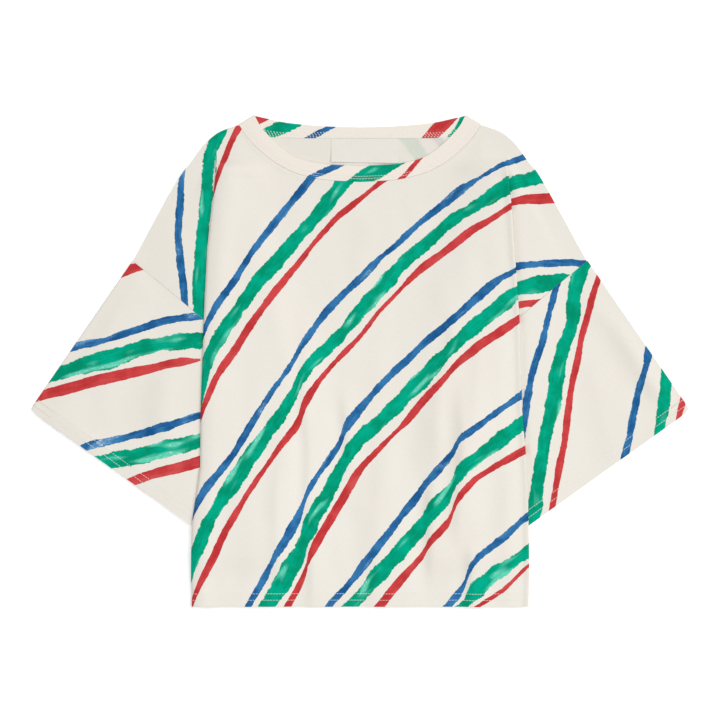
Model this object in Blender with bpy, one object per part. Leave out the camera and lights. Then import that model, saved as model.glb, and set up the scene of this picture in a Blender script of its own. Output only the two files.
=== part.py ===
"""Child's boxy drop-shoulder t-shirt with wide elbow sleeves, laid flat with its front up.

The frame is in metres: +X across the shirt, +Y from the hem to the neck, +Z up. The shirt lies on
z = 0 with its outline centred on the origin. Every piece is a wall of jersey. At each side a wedge
of the body is folded in, so that the sleeve points down: the front turns under along a crease,
runs inwards, turns back along a second fold and comes out again below as the shoulder part. The
back does the same from below, and the sleeve's hidden half lies between the two.
"""

import math
from collections import namedtuple

import bmesh
import bpy
from mathutils import Vector

MM = 0.001

# Cloth.
WALL = 1.0 * MM
SEAM_GAP = 0.3 * MM
BACK_NECK_GAP = 0.9 * MM
LAYER = WALL + SEAM_GAP
BEND = LAYER / 2
BAND_WALL = 1.2 * MM
BAND_BEND = (BAND_WALL + SEAM_GAP) / 2
BAND_LIFT = 0.1 * MM

# Heights up the shirt, along Y.
HEM_Y = -245.5 * MM
SLEEVE_END_Y = -190.0 * MM
UNDERARM_Y = -22.0 * MM
CREASE_TOP_Y = 224.5 * MM

# The wedge folded in at each side.
FOLD_CLOSED_Y = 187.0 * MM
FOLD_OPEN_Y = 223.0 * MM
SHORTEST_FOLD = 1.0 * MM
UNDERARM_TUCK = 75.0 * MM
HEM_TUCK = 50.0 * MM
UNDERARM_WIDTH = 7.0 * MM
BACK_INSET = 1.5 * MM

# How the layers settle on each other.
LEVEL_EDGE = 12.0 * MM
LEVEL_RUN = 28.0 * MM
HUMP_EDGE = 8.0 * MM
HUMP_RUN = 52.0 * MM
HEM_SETTLE = 30.0 * MM
LOFT = 1.2 * MM
FOLD_PUFF = 1.0 * MM

# Sleeve, for the right side; the left one is its mirror.
SHOULDER_TIP = Vector((226.5, 99.0)) * MM
UNDERARM = Vector((84.0, -27.5)) * MM
CUFF_TOP = Vector((329.0, -50.0)) * MM
CUFF_UNDER = Vector((160.0, -170.5)) * MM
ARMHOLE_BOW = 3.0 * MM

# How soon the rows of the shoulder part lose the bulge of the shoulder line, as a power.
SHOULDER_FADE = 3

# Label.
LABEL_SIZE = (67.0 * MM, 23.2 * MM, WALL)
LABEL_PLACE = (4.8 * MM, 210.0 * MM)

# Mesh steps.
BEND_STEPS = 4
NECK_STEPS = 7
MAIN_SHOULDER_STEPS = 2
CURVE_STEPS = 8
TUCK_STEPS = 2
SHOULDER_PART_STEPS = 6
LOWER_ROWS = 8
UPPER_ROWS = 9
FOLD_ROWS = 5
SLEEVE_STATIONS = 7
SLEEVE_STEPS = 9

# Where the front turns under at each side: the distance from the middle, in millimetres.
CreaseRow = namedtuple("CreaseRow", "y left right")
CREASE = [
    CreaseRow(-245.5, 168.5, 169.0),
    CreaseRow(-214.5, 169.5, 169.5),
    CreaseRow(-163.5, 168.5, 169.0),
    CreaseRow(-129.5, 164.0, 168.0),
    CreaseRow(-105.5, 160.0, 166.5),
    CreaseRow(-49.5, 159.0, 163.0),
    CreaseRow(41.5, 157.0, 160.0),
    CreaseRow(108.5, 152.0, 156.5),
    CreaseRow(147.5, 148.0, 153.5),
    CreaseRow(179.5, 144.0, 150.5),
    CreaseRow(195.0, 143.0, 149.0),
    CreaseRow(224.5, 145.0, 147.0),
]

# Half outlines in millimetres, from the middle outwards.
PlanPoint = namedtuple("PlanPoint", "x y")
FRONT_NECKLINE = [
    PlanPoint(0.0, 178.5),
    PlanPoint(36.0, 180.7),
    PlanPoint(62.0, 186.6),
    PlanPoint(77.5, 193.7),
    PlanPoint(92.0, 203.1),
    PlanPoint(110.5, 220.5),
    PlanPoint(120.5, 235.0),
]
BACK_NECKLINE = [
    PlanPoint(0.0, 222.3),
    PlanPoint(65.0, 222.3),
    PlanPoint(88.0, 223.5),
    PlanPoint(104.0, 227.5),
    PlanPoint(120.5, 235.0),
]
FRONT_BAND_EDGE = [
    PlanPoint(0.0, 195.5),
    PlanPoint(36.0, 197.0),
    PlanPoint(60.0, 201.5),
    PlanPoint(74.0, 209.3),
    PlanPoint(88.0, 221.3),
    PlanPoint(99.0, 233.5),
    PlanPoint(105.0, 244.4),
]
BACK_BAND_EDGE = [
    PlanPoint(0.0, 233.0),
    PlanPoint(33.0, 233.9),
    PlanPoint(71.0, 237.2),
    PlanPoint(94.0, 241.9),
    PlanPoint(105.0, 244.4),
]
SHOULDER_LINE = [
    PlanPoint(120.5, 235.5),
    PlanPoint(139.5, 228.5),
    PlanPoint(150.5, 220.5),
    PlanPoint(159.0, 210.5),
    PlanPoint(169.0, 196.5),
    PlanPoint(181.0, 180.5),
    PlanPoint(226.5, 99.0),
]

Finish = namedtuple("Finish", "color roughness")
PRINTED_JERSEY = Finish((0.84, 0.79, 0.74, 1.0), 0.9)
BAND_JERSEY = Finish((0.87, 0.81, 0.74, 1.0), 0.9)
LABEL_WEAVE = Finish((0.86, 0.84, 0.79, 1.0), 0.7)

SIDES = {"left": -1, "right": 1}


def ease(value):
    """Go smoothly from 0 to 1 as value does, and hold outside."""
    value = min(max(value, 0.0), 1.0)
    return value * value * (3 - 2 * value)


def mix(first, second, share):
    """Go straight from first to second."""
    return first + (second - first) * share


def smooth_run(rows):
    """Plan points on a smooth curve through the rows, in metres."""
    knots = [Vector((row.x, row.y)) * MM for row in rows]
    ends = [2 * knots[0] - knots[1], *knots, 2 * knots[-1] - knots[-2]]
    run = []
    for before, start, stop, after in zip(ends, ends[1:], ends[2:], ends[3:]):
        for step in range(CURVE_STEPS):
            t = step / CURVE_STEPS
            linear = (stop - before) * t
            square = (2 * before - 5 * start + 4 * stop - after) * t**2
            cube = (3 * start - before - 3 * stop + after) * t**3
            run.append((2 * start + linear + square + cube) / 2)
    return [*run, knots[-1]]


def along(run, share):
    """The point at a share of a run's whole length."""
    lengths = [(b - a).length for a, b in zip(run, run[1:])]
    left = share * sum(lengths)
    for start, stop, length in zip(run, run[1:], lengths):
        if left <= length:
            return mix(start, stop, left / length)
        left -= length
    return run[-1].copy()


def neck_points(half, gap=0.0):
    """The half neckline's points that a panel and the neckband share, moved off by a gap."""
    run = smooth_run(half)
    points = [along(run, step / NECK_STEPS) for step in range(NECK_STEPS + 1)]
    moved = []
    for number, point in enumerate(points):
        before = points[max(number - 1, 0)]
        after = points[min(number + 1, NECK_STEPS)]
        away = Vector((after.y - before.y, before.x - after.x)).normalized()
        if number == 0:
            away = Vector((0.0, -1.0))
        moved.append(point + away * gap)
    return moved


def run_height(run, x):
    """The y of a run that goes outwards, at x."""
    for start, stop in zip(run, run[1:]):
        if start.x <= x <= stop.x:
            return mix(start.y, stop.y, (x - start.x) / (stop.x - start.x))
    return run[-1].y


def crease_x(side, y):
    """How far from the middle the body turns under at a height."""
    rows = [(row.y * MM, getattr(row, side) * MM) for row in CREASE]
    y = min(max(y, rows[0][0]), rows[-1][0])
    for (low, x_low), (high, x_high) in zip(rows, rows[1:]):
        if y <= high:
            return mix(x_low, x_high, (y - low) / (high - low))
    return rows[-1][1]


def fold_turn(y):
    """The angle that the cloth turns through at each of a wedge's two folds."""
    return math.pi * ease((FOLD_OPEN_Y - y) / (FOLD_OPEN_Y - FOLD_CLOSED_Y))


def tuck(side, y):
    """The width turned in at a height: to the second fold, or below it to the side seam."""
    if y < UNDERARM_Y:
        return mix(HEM_TUCK, UNDERARM_TUCK, (y - HEM_Y) / (UNDERARM_Y - HEM_Y))
    if y > FOLD_CLOSED_Y:
        return SHORTEST_FOLD
    share = (y - UNDERARM_Y) / (FOLD_CLOSED_Y - UNDERARM_Y)
    bottom = crease_x(side, UNDERARM_Y) - UNDERARM_TUCK
    top = crease_x(side, FOLD_CLOSED_Y) - SHORTEST_FOLD
    return crease_x(side, y) - mix(bottom, top, share)


def fold_rise(y):
    """The height between a panel's top and its shoulder part, across the two folds."""
    turn = fold_turn(y)
    return 2 * BEND * (1 - math.cos(turn)) + SHORTEST_FOLD * math.sin(turn)


def lifted(side, point):
    """The share of its full rise that a sleeve or shoulder part still has at a plan point."""
    outside = point.x - crease_x(side, point.y) - LEVEL_EDGE
    return 1 - ease(outside / LEVEL_RUN)


def fold_puff(y):
    """How far the front stands off the back where the wedge begins to close."""
    return FOLD_PUFF * math.sin(fold_turn(y))


def front_crease_height(y):
    """The front's height along its crease: it settles below the sleeves."""
    sleeves_below = ease((y - SLEEVE_END_Y + HEM_SETTLE) / HEM_SETTLE)
    return LAYER + fold_puff(y) + fold_rise(y) * (1 + sleeves_below)


def front_height(side, x, y):
    """The front's height between its creases: humps over the tucks, and a soft middle."""
    inside = crease_x(side, y) - tuck(side, y) - HUMP_EDGE - x
    crease = front_crease_height(y)
    hump = 1 - ease(inside / HUMP_RUN)
    middle = LAYER + LOFT * ease((CREASE_TOP_Y - y) / (CREASE_TOP_Y - UNDERARM_Y))
    return mix(min(middle, max(crease, LAYER)), crease, hump)


class Sheet:
    """A sheet of quads, which a Solidify modifier makes a wall."""

    def __init__(self):
        self.mesh = bmesh.new()

    def patch(self, rows, ring=False):
        """Join rows of points with quads, and close each row if it is a ring."""
        grid = [[self.mesh.verts.new(point) for point in row] for row in rows]
        columns = len(rows[0])
        for lower, upper in zip(grid, grid[1:]):
            for start in range(columns if ring else columns - 1):
                stop = (start + 1) % columns
                self.mesh.faces.new((lower[start], lower[stop], upper[stop], upper[start]))

    def finish(self, name, wall, material):
        """Weld the patches, give the wall its thickness and put the piece in the scene."""
        bmesh.ops.remove_doubles(self.mesh, verts=self.mesh.verts, dist=0.01 * MM)
        bmesh.ops.recalc_face_normals(self.mesh, faces=self.mesh.faces)
        data = bpy.data.meshes.new(name)
        self.mesh.to_mesh(data)
        self.mesh.free()
        data.materials.append(material)
        piece = bpy.data.objects.new(name, data)
        bpy.context.scene.collection.objects.link(piece)
        solidify = piece.modifiers.new("wall", "SOLIDIFY")
        solidify.thickness = wall
        solidify.offset = 0
        solidify.use_even_offset = False
        return piece


def row_heights():
    """The heights of a panel's grid rows along its crease, from the hem to the shoulder."""
    lower = [mix(HEM_Y, UNDERARM_Y, row / LOWER_ROWS) for row in range(LOWER_ROWS)]
    upper = [mix(UNDERARM_Y, FOLD_CLOSED_Y, row / UPPER_ROWS) for row in range(UPPER_ROWS)]
    fold = [mix(FOLD_CLOSED_Y, CREASE_TOP_Y, row / FOLD_ROWS) for row in range(FOLD_ROWS + 1)]
    return [*lower, *upper, *fold]


def main_columns(side, neckline, shoulder, y):
    """Plan points of one row of a panel's main part, from the middle to the crease."""
    share = (y - HEM_Y) / (CREASE_TOP_Y - HEM_Y)
    edge = crease_x(side, y)
    top_edge = crease_x(side, CREASE_TOP_Y)
    tops = list(neckline)
    for step in range(1, MAIN_SHOULDER_STEPS + 1):
        x = mix(neckline[-1].x, top_edge, step / MAIN_SHOULDER_STEPS)
        tops.append(Vector((x, run_height(shoulder, x))))
    points = []
    for number, top in enumerate(tops):
        even = number / (len(tops) - 1)
        x = mix(even, top.x / top_edge, ease(share)) * edge
        points.append(Vector((x, mix(HEM_Y, top.y, share))))
    return points


def armhole(share):
    """A point of the armhole seam, from the underarm to the shoulder tip."""
    chord = SHOULDER_TIP - UNDERARM
    outwards = Vector((chord.y, -chord.x)).normalized()
    bow = outwards * ARMHOLE_BOW * math.sin(math.pi * share)
    return mix(UNDERARM, SHOULDER_TIP, share) - bow


class BodyPanel:
    """The front or the back: one cut piece with a wedge folded in at each side."""

    def __init__(self, name, neckline, is_front):
        self.name = name
        self.neckline = neck_points(neckline, SEAM_GAP if is_front else BACK_NECK_GAP)
        self.shoulder = smooth_run(SHOULDER_LINE)
        self.way = -1 if is_front else 1
        self.is_front = is_front
        self.inset = 0 if is_front else BACK_INSET

    def main_height(self, side, x, y):
        """Height of the wall's middle in the main part."""
        return WALL / 2 + (front_height(side, x, y) if self.is_front else 0)

    def fold_start(self, side, y):
        """Where the main part ends and the first fold begins, as x and z."""
        start_z = front_crease_height(y) if self.is_front else 0
        return crease_x(side, y) - self.inset, start_z + WALL / 2

    def turned_in(self, side, y):
        """The first fold and the part turned in, as x and z from the crease inwards."""
        turn = fold_turn(y)
        x, z = self.fold_start(side, y)
        path = []
        for step in range(1, BEND_STEPS + 1):
            angle = turn * step / BEND_STEPS
            turned = Vector((math.sin(angle), self.way * (1 - math.cos(angle))))
            path.append(Vector((x, z)) + BEND * turned)
        bend_end = path[-1]
        heading = Vector((math.cos(turn), self.way * math.sin(turn)))
        width = tuck(side, y) - self.inset
        for step in range(1, TUCK_STEPS + 1):
            path.append(bend_end + heading * max(width, SHORTEST_FOLD) * step / TUCK_STEPS)
        return path

    def second_fold(self, side, y):
        """The second fold, as x and z from the part turned in to the shoulder part."""
        turn = fold_turn(y)
        start = self.turned_in(side, y)[-1]
        path = []
        for step in range(BEND_STEPS + 1):
            angle = turn - turn * step / BEND_STEPS
            x = math.sin(turn) - math.sin(angle)
            z = self.way * (math.cos(angle) - math.cos(turn))
            path.append(start + BEND * Vector((x, z)))
        return path

    def half_row(self, side, y):
        """One row of the main part and of what is turned in, on one side, from the middle."""
        sign = SIDES[side]
        start_x = self.fold_start(side, y)[0]
        points = []
        plan = main_columns(side, self.neckline, self.shoulder, y)
        for point in plan:
            x = point.x * start_x / crease_x(side, y)
            points.append((sign * x, point.y, self.main_height(side, x, y)))
        row_y = plan[-1].y
        points += [(sign * step.x, row_y, step.y) for step in self.turned_in(side, y)]
        return points

    def shoulder_part(self, side, heights):
        """Rows of the second fold and the shoulder part, from the underarm up."""
        sign = SIDES[side]
        base = WALL / 2 + (LAYER if self.is_front else 0)
        top_edge = crease_x(side, CREASE_TOP_Y)
        top_y = run_height(self.shoulder, top_edge)
        stretch = (top_y - HEM_Y) / (CREASE_TOP_Y - HEM_Y)
        shoulder = [Vector((top_edge, top_y))]
        shoulder += [point for point in self.shoulder if point.x > top_edge]
        lowest = UNDERARM_WIDTH / (SHOULDER_TIP - UNDERARM).length
        rows = []
        for y in heights:
            share = (y - UNDERARM_Y) / (CREASE_TOP_Y - UNDERARM_Y)
            fold = self.second_fold(side, y)
            row_y = HEM_Y + (y - HEM_Y) * stretch
            rise = fold_rise(y) + (fold_puff(y) if self.is_front else 0)
            start = Vector((fold[-1].x, row_y))
            stop = armhole(mix(lowest, 1, share)) + Vector((-SEAM_GAP, SEAM_GAP))
            row = [(sign * step.x, row_y, step.y) for step in fold]
            for step in range(1, SHOULDER_PART_STEPS + 1):
                part = step / SHOULDER_PART_STEPS
                bulge = along(shoulder, part) - mix(shoulder[0], shoulder[-1], part)
                point = mix(start, stop, part) + bulge * share**SHOULDER_FADE
                height = base + rise * lifted(side, point)
                row.append((sign * point.x, point.y, height))
            rows.append(row)
        return rows

    def build(self, material):
        """Make the panel."""
        heights = row_heights()
        sheet = Sheet()
        rows = []
        for y in heights:
            left = self.half_row("left", y)
            right = self.half_row("right", y)
            rows.append([*reversed(left), *right[1:]])
        sheet.patch(rows)
        for side in SIDES:
            sheet.patch(self.shoulder_part(side, heights[LOWER_ROWS:]))
        return sheet.finish(self.name, WALL, material)


def flat_ring(front, back, bend, middle_height, outwards):
    """A closed row of a flattened tube: along the front, round an end, back and round.

    front and back are plan points that run the same way, outwards gives the direction past the
    last point and, turned round, past the first, and middle_height the height between the layers.
    """
    ring = [(*point, middle_height(point) + bend) for point in front]
    for points, heading, first in (
        ((front[-1], back[-1]), outwards[1], 1),
        ((back[0], front[0]), outwards[0], -1),
    ):
        for step in range(1, BEND_STEPS):
            angle = math.pi * step / BEND_STEPS
            point = mix(*points, step / BEND_STEPS) + heading * bend * math.sin(angle)
            height = middle_height(points[0]) + first * bend * math.cos(angle)
            ring.append((*point, height))
        if first == 1:
            ring += [(*point, middle_height(point) - bend) for point in reversed(back)]
    return ring


def sleeve(side, material):
    """One wide sleeve, a flattened tube from the armhole to the cuff."""
    sign = SIDES[side]
    seam = Vector((SEAM_GAP, -SEAM_GAP))
    rows = []
    for station in range(SLEEVE_STATIONS):
        down = station / (SLEEVE_STATIONS - 1)
        points = []
        for step in range(SLEEVE_STEPS + 1):
            across = step / SLEEVE_STEPS
            start = armhole(1 - across) + seam
            stop = mix(CUFF_TOP, CUFF_UNDER, across)
            points.append(mix(start, stop, down))
        across_line = (points[-1] - points[0]).normalized()

        def middle(point):
            return WALL / 2 + BEND + fold_rise(FOLD_CLOSED_Y) * lifted(side, point)

        ring = flat_ring(points, points, BEND, middle, (-across_line, across_line))
        rows.append([(sign * x, y, z) for x, y, z in ring])
    sheet = Sheet()
    sheet.patch(rows, ring=True)
    return sheet.finish(f"sleeve_{side}", WALL, material)


def whole_line(half):
    """A line right across, from a half outline, left to right."""
    right = neck_points(half)
    left = [Vector((-point.x, point.y)) for point in reversed(right)]
    return [*left, *right[1:]]


def neckband(material):
    """The round neckband, doubled cloth: its front half lies over its back half."""
    seam_end = Vector(FRONT_NECKLINE[-1])
    free_end = Vector(FRONT_BAND_EDGE[-1])
    fold = (seam_end - free_end).normalized()
    outwards = Vector((-fold.y, fold.x))
    ends = (Vector((-outwards.x, outwards.y)), outwards)
    middle = BAND_LIFT + BAND_WALL / 2 + BAND_BEND
    rows = []
    for front, back in (
        (FRONT_NECKLINE, BACK_NECKLINE),
        (FRONT_BAND_EDGE, BACK_BAND_EDGE),
    ):
        lines = (whole_line(front), whole_line(back))
        rows.append(flat_ring(*lines, BAND_BEND, lambda _: middle, ends))
    sheet = Sheet()
    sheet.patch(rows, ring=True)
    return sheet.finish("neckband", BAND_WALL, material)


def neck_label(material):
    """The woven label inside the back of the neck, with its face up."""
    data = bpy.data.meshes.new("neck_label")
    mesh = bmesh.new()
    bmesh.ops.create_cube(mesh, size=1)
    bmesh.ops.scale(mesh, vec=LABEL_SIZE, verts=mesh.verts)
    mesh.to_mesh(data)
    mesh.free()
    data.materials.append(material)
    label = bpy.data.objects.new("neck_label", data)
    label.location = (*LABEL_PLACE, LAYER + WALL / 2)
    bpy.context.scene.collection.objects.link(label)
    return label


def cloth(name, finish):
    """A plain cloth material."""
    material = bpy.data.materials.new(name)
    material.use_nodes = True
    shader = material.node_tree.nodes["Principled BSDF"]
    shader.inputs["Base Color"].default_value = finish.color
    shader.inputs["Roughness"].default_value = finish.roughness
    shader.inputs["Metallic"].default_value = 0.0
    return material


def main():
    """Clear the scene and build the t-shirt."""
    for old in list(bpy.data.objects):
        bpy.data.objects.remove(old)
    printed = cloth("printed_jersey", PRINTED_JERSEY)
    BodyPanel("back_panel", BACK_NECKLINE, is_front=False).build(printed)
    BodyPanel("front_panel", FRONT_NECKLINE, is_front=True).build(printed)
    for side in SIDES:
        sleeve(side, printed)
    neckband(cloth("band_jersey", BAND_JERSEY))
    neck_label(cloth("label_weave", LABEL_WEAVE))


main()
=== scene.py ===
"""Looks of a child's boxy striped t-shirt in cotton jersey, laid flat with its front up.

Every sheet of cloth is woven here as a fine grid on the same folds as the fixed frame's solids, in
metres: +X across the shirt, +Y from the hem to the neck, +Z up. The painted stripes are brush
strokes whose middle lines are laid out in the tables below; a stroke's wobble, its uneven width
and its dry bristle marks come from seeded noise. Plan sizes in the tables are millimetres.
"""

from __future__ import annotations

import logging
import math
import random
from collections.abc import Callable, Sequence
from dataclasses import dataclass, field
from enum import Enum

import bpy
import numpy as np
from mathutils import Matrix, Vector, kdtree, noise


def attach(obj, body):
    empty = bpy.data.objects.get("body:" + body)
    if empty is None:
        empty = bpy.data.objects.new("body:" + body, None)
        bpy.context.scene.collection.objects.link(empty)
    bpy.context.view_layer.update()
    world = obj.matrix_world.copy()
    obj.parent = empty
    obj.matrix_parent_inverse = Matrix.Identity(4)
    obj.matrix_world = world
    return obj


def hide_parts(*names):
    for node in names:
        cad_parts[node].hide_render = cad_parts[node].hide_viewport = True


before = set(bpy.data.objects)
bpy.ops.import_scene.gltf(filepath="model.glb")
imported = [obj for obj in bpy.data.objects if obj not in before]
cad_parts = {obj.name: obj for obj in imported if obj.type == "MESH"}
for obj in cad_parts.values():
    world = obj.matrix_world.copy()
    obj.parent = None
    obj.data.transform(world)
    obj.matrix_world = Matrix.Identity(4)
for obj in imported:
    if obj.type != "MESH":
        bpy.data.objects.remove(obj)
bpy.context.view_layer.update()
BODY = "root"
MM = 0.001
LOG = logging.getLogger("striped_tshirt")

Plan = tuple[float, float]
Span = tuple[float, float]
Scale = tuple[float, float, float]
Color = tuple[float, float, float, float]
Line = list[tuple[float, float, float]]


# ---------------------------------------------------------------------------------------------
# Small tools
# ---------------------------------------------------------------------------------------------


class Side(Enum):
    """The shirt's left and right as seen, each with the sign of its X."""

    LEFT = -1
    RIGHT = 1


class Face(Enum):
    """The two body panels, each with the way its side folds turn."""

    FRONT = -1
    BACK = 1


class Dye(Enum):
    """The colours of the painted stripes, each with its channel in the paint attribute."""

    BLUE = 0
    GREEN = 1
    RED = 2


class Zone(Enum):
    """Which strokes a stretch of cloth carries."""

    MAIN = 0
    LEFT_PART = 1
    RIGHT_PART = 2
    LEFT_TOP = 3


def ease(value: float) -> float:
    """Go smoothly from 0 to 1 as value does, and hold outside."""
    value = min(max(value, 0.0), 1.0)
    return value * value * (3 - 2 * value)


def mix(first, second, share: float):
    """Go straight from first to second."""
    return first + (second - first) * share


def spaced(start: float, stop: float, step: float) -> list[float]:
    """Even places from start up to but without stop, about a step apart."""
    count = max(1, round(abs(stop - start) / step))
    return [mix(start, stop, number / count) for number in range(count)]


def smooth_run(rows: Sequence[Plan], steps: int = 12) -> list[Vector]:
    """Plan points on a smooth curve through the rows.

    Args:
        rows: Places in millimetres.
        steps: Pieces between each two rows.

    Returns:
        Points in metres.
    """
    knots = [Vector(row) * MM for row in rows]
    ends = [2 * knots[0] - knots[1], *knots, 2 * knots[-1] - knots[-2]]
    run = []
    for before, start, stop, after in zip(ends, ends[1:], ends[2:], ends[3:]):
        for step in range(steps):
            t = step / steps
            linear = (stop - before) * t
            square = (2 * before - 5 * start + 4 * stop - after) * t**2
            cube = (3 * start - before - 3 * stop + after) * t**3
            run.append((2 * start + linear + square + cube) / 2)
    return [*run, knots[-1]]


def even_points(run: Sequence[Vector], count: int) -> list[Vector]:
    """Points at even spacing along a run, both ends included.

    Args:
        run: A line of plan points.
        count: How many steps to make.

    Returns:
        count + 1 points.
    """
    lengths = [0.0]
    for start, stop in zip(run, run[1:]):
        lengths.append(lengths[-1] + (stop - start).length)
    at = np.linspace(0.0, lengths[-1], count + 1)
    columns = [np.interp(at, lengths, [point[axis] for point in run]) for axis in (0, 1)]
    return [Vector((float(x), float(y))) for x, y in zip(*columns)]


def run_length(run: Sequence[Vector]) -> float:
    """The length of a line of points."""
    return sum((stop - start).length for start, stop in zip(run, run[1:]))


def run_height(run: Sequence[Vector], x: float) -> float:
    """The y of a run that goes outwards, at x."""
    for start, stop in zip(run, run[1:]):
        if start.x <= x <= stop.x and stop.x > start.x:
            return mix(start.y, stop.y, (x - start.x) / (stop.x - start.x))
    return run[-1].y


def moved_off(points: Sequence[Vector], gap: float) -> list[Vector]:
    """Half neckline points moved off to the cloth's side of the seam."""
    moved = []
    for number, point in enumerate(points):
        before = points[max(number - 1, 0)]
        after = points[min(number + 1, len(points) - 1)]
        away = Vector((after.y - before.y, before.x - after.x)).normalized()
        if number == 0:
            away = Vector((0.0, -1.0))
        moved.append(point + away * gap)
    return moved


def bell(offset: float, width: float) -> float:
    """A smooth hump of height 1 that falls away over a width."""
    return math.exp(-((offset / width) ** 2))


def ripple(x: float, y: float, size: float, seed: float) -> float:
    """Soft noise from about -1 to 1 over the plan, with bumps of about a size."""
    return noise.noise(Vector((x / size, y / size, seed)))


@dataclass(frozen=True)
class Waves:
    """Slow waves in laid cloth: their height in millimetres, their size in metres and a seed.

    A squeeze below 1 draws them out up the shirt.
    """

    height: float
    size: float
    seed: float
    squeeze: float = 1.0

    def rise(self, x: float, y: float) -> float:
        """Their height at a place, in millimetres."""
        return self.height * ripple(x, y * self.squeeze, self.size, self.seed)


# ---------------------------------------------------------------------------------------------
# The print
# ---------------------------------------------------------------------------------------------


@dataclass(frozen=True)
class Stroke:
    """One brush stroke: its colour, half its width and places along it, in millimetres.

    Its swell scales how much its width varies, and a taper is the length over which the brush
    lifts off before the last place.
    """

    dye: Dye
    half_width: float
    places: tuple[Plan, ...]
    swell: float = 1.0
    taper: float = 0.0


@dataclass(frozen=True)
class Station:
    """A place on a group's green stroke, and how far the blue and red lie from it."""

    x: float
    y: float
    blue: float
    red: float


HALF_WIDTH = {Dye.BLUE: 3.5, Dye.GREEN: 7.2, Dye.RED: 3.3}

FRONT_GROUPS = (
    (
        Station(-161.0, -26.0, 20.0, 12.5),
        Station(-153.0, -2.0, 20.0, 16.5),
        Station(-142.0, 20.0, 19.0, 19.0),
        Station(-112.0, 64.0, 20.0, 19.0),
        Station(-79.0, 104.0, 25.0, 18.0),
        Station(-44.0, 144.0, 28.0, 16.0),
        Station(-26.0, 165.0, 28.0, 20.0),
        Station(-14.0, 180.0, 26.0, 24.0),
    ),
    (
        Station(-164.0, -190.0, 23.0, 18.0),
        Station(-142.0, -144.0, 19.0, 19.0),
        Station(-112.0, -100.0, 16.0, 17.0),
        Station(-83.0, -58.0, 19.0, 18.0),
        Station(-54.0, -10.0, 17.0, 17.0),
        Station(-19.0, 26.0, 25.0, 15.0),
        Station(15.0, 66.0, 22.0, 15.0),
        Station(51.0, 104.0, 19.0, 17.0),
        Station(93.0, 140.0, 19.0, 20.0),
        Station(138.0, 168.0, 22.0, 19.0),
        Station(163.0, 180.0, 21.0, 20.0),
    ),
    (
        Station(-86.0, -234.0, 17.0, 17.0),
        Station(-61.0, -190.0, 18.0, 14.0),
        Station(-38.0, -144.0, 17.0, 15.0),
        Station(-12.0, -96.0, 15.0, 19.0),
        Station(22.0, -58.0, 23.0, 19.0),
        Station(59.0, -22.0, 25.0, 15.0),
        Station(95.0, 16.0, 21.0, 16.0),
        Station(144.0, 58.0, 20.0, 22.0),
        Station(170.0, 76.0, 20.0, 22.0),
    ),
    (
        Station(-3.0, -238.0, 16.0, 22.0),
        Station(30.0, -200.0, 18.0, 20.0),
        Station(65.0, -160.0, 23.0, 18.0),
        Station(98.0, -116.0, 22.0, 16.0),
        Station(117.0, -98.0, 25.0, 17.0),
        Station(155.0, -68.0, 24.0, 22.0),
    ),
    (
        Station(114.0, -232.0, 16.0, 13.0),
        Station(133.0, -214.0, 22.0, 18.0),
        Station(157.0, -198.0, 26.0, 12.5),
    ),
)
RED_HALF_WIDTHS = (3.3, 3.3, 3.3, 3.1, 1.7)

EDGE_STROKES = (
    Stroke(Dye.RED, 3.3, ((-118.5, 236.0), (-131.5, 210.0), (-140.5, 190.0), (-149.0, 172.0)), 0.5),
)

LEFT_PART_STROKES = (
    Stroke(
        Dye.GREEN,
        6.1,
        ((-139.0, 231.0), (-149.5, 209.0), (-153.0, 172.0), (-158.5, 115.0), (-160.5, 59.0)),
        0.5,
    ),
    Stroke(
        Dye.BLUE,
        3.6,
        ((-178.0, 184.0), (-180.0, 146.0), (-181.0, 120.0), (-178.0, 90.0), (-175.0, 57.0)),
        0.5,
    ),
)

RIGHT_PART_STROKES = (
    Stroke(Dye.GREEN, 7.1, ((145.0, 172.5), (157.0, 178.0), (175.0, 182.5))),
    Stroke(Dye.RED, 4.0, ((148.0, 157.0), (165.0, 160.0), (188.0, 162.0))),
    Stroke(Dye.BLUE, 3.5, ((152.0, 94.0), (170.0, 96.0), (202.0, 97.0), (230.0, 97.0))),
    Stroke(Dye.GREEN, 7.5, ((155.0, 72.0), (188.0, 77.0), (210.0, 79.0))),
    Stroke(Dye.RED, 3.6, ((155.0, 54.5), (173.0, 56.5), (190.0, 59.0))),
)

LEFT_SLEEVE_STROKES = (
    Stroke(Dye.RED, 5.6, ((-241.0, 87.0), (-212.0, 96.0))),
    Stroke(Dye.BLUE, 3.6, ((-287.0, 13.0), (-240.0, 25.0), (-194.0, 40.0), (-158.0, 44.0))),
    Stroke(Dye.GREEN, 7.8, ((-304.0, -14.0), (-263.0, -2.0), (-206.0, 15.0), (-158.0, 20.0))),
    Stroke(
        Dye.RED,
        4.6,
        ((-319.0, -34.5), (-263.0, -21.0), (-194.0, -4.5), (-157.0, 2.0)),
        0.6,
        24.0,
    ),
    Stroke(Dye.BLUE, 3.8, ((-285.0, -89.0), (-225.0, -75.0), (-160.0, -55.0))),
    Stroke(Dye.GREEN, 7.8, ((-258.0, -102.0), (-206.0, -92.0), (-160.0, -80.0))),
    Stroke(Dye.RED, 5.0, ((-233.0, -122.0), (-196.0, -111.0), (-160.0, -101.0)), 0.25),
)

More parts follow.
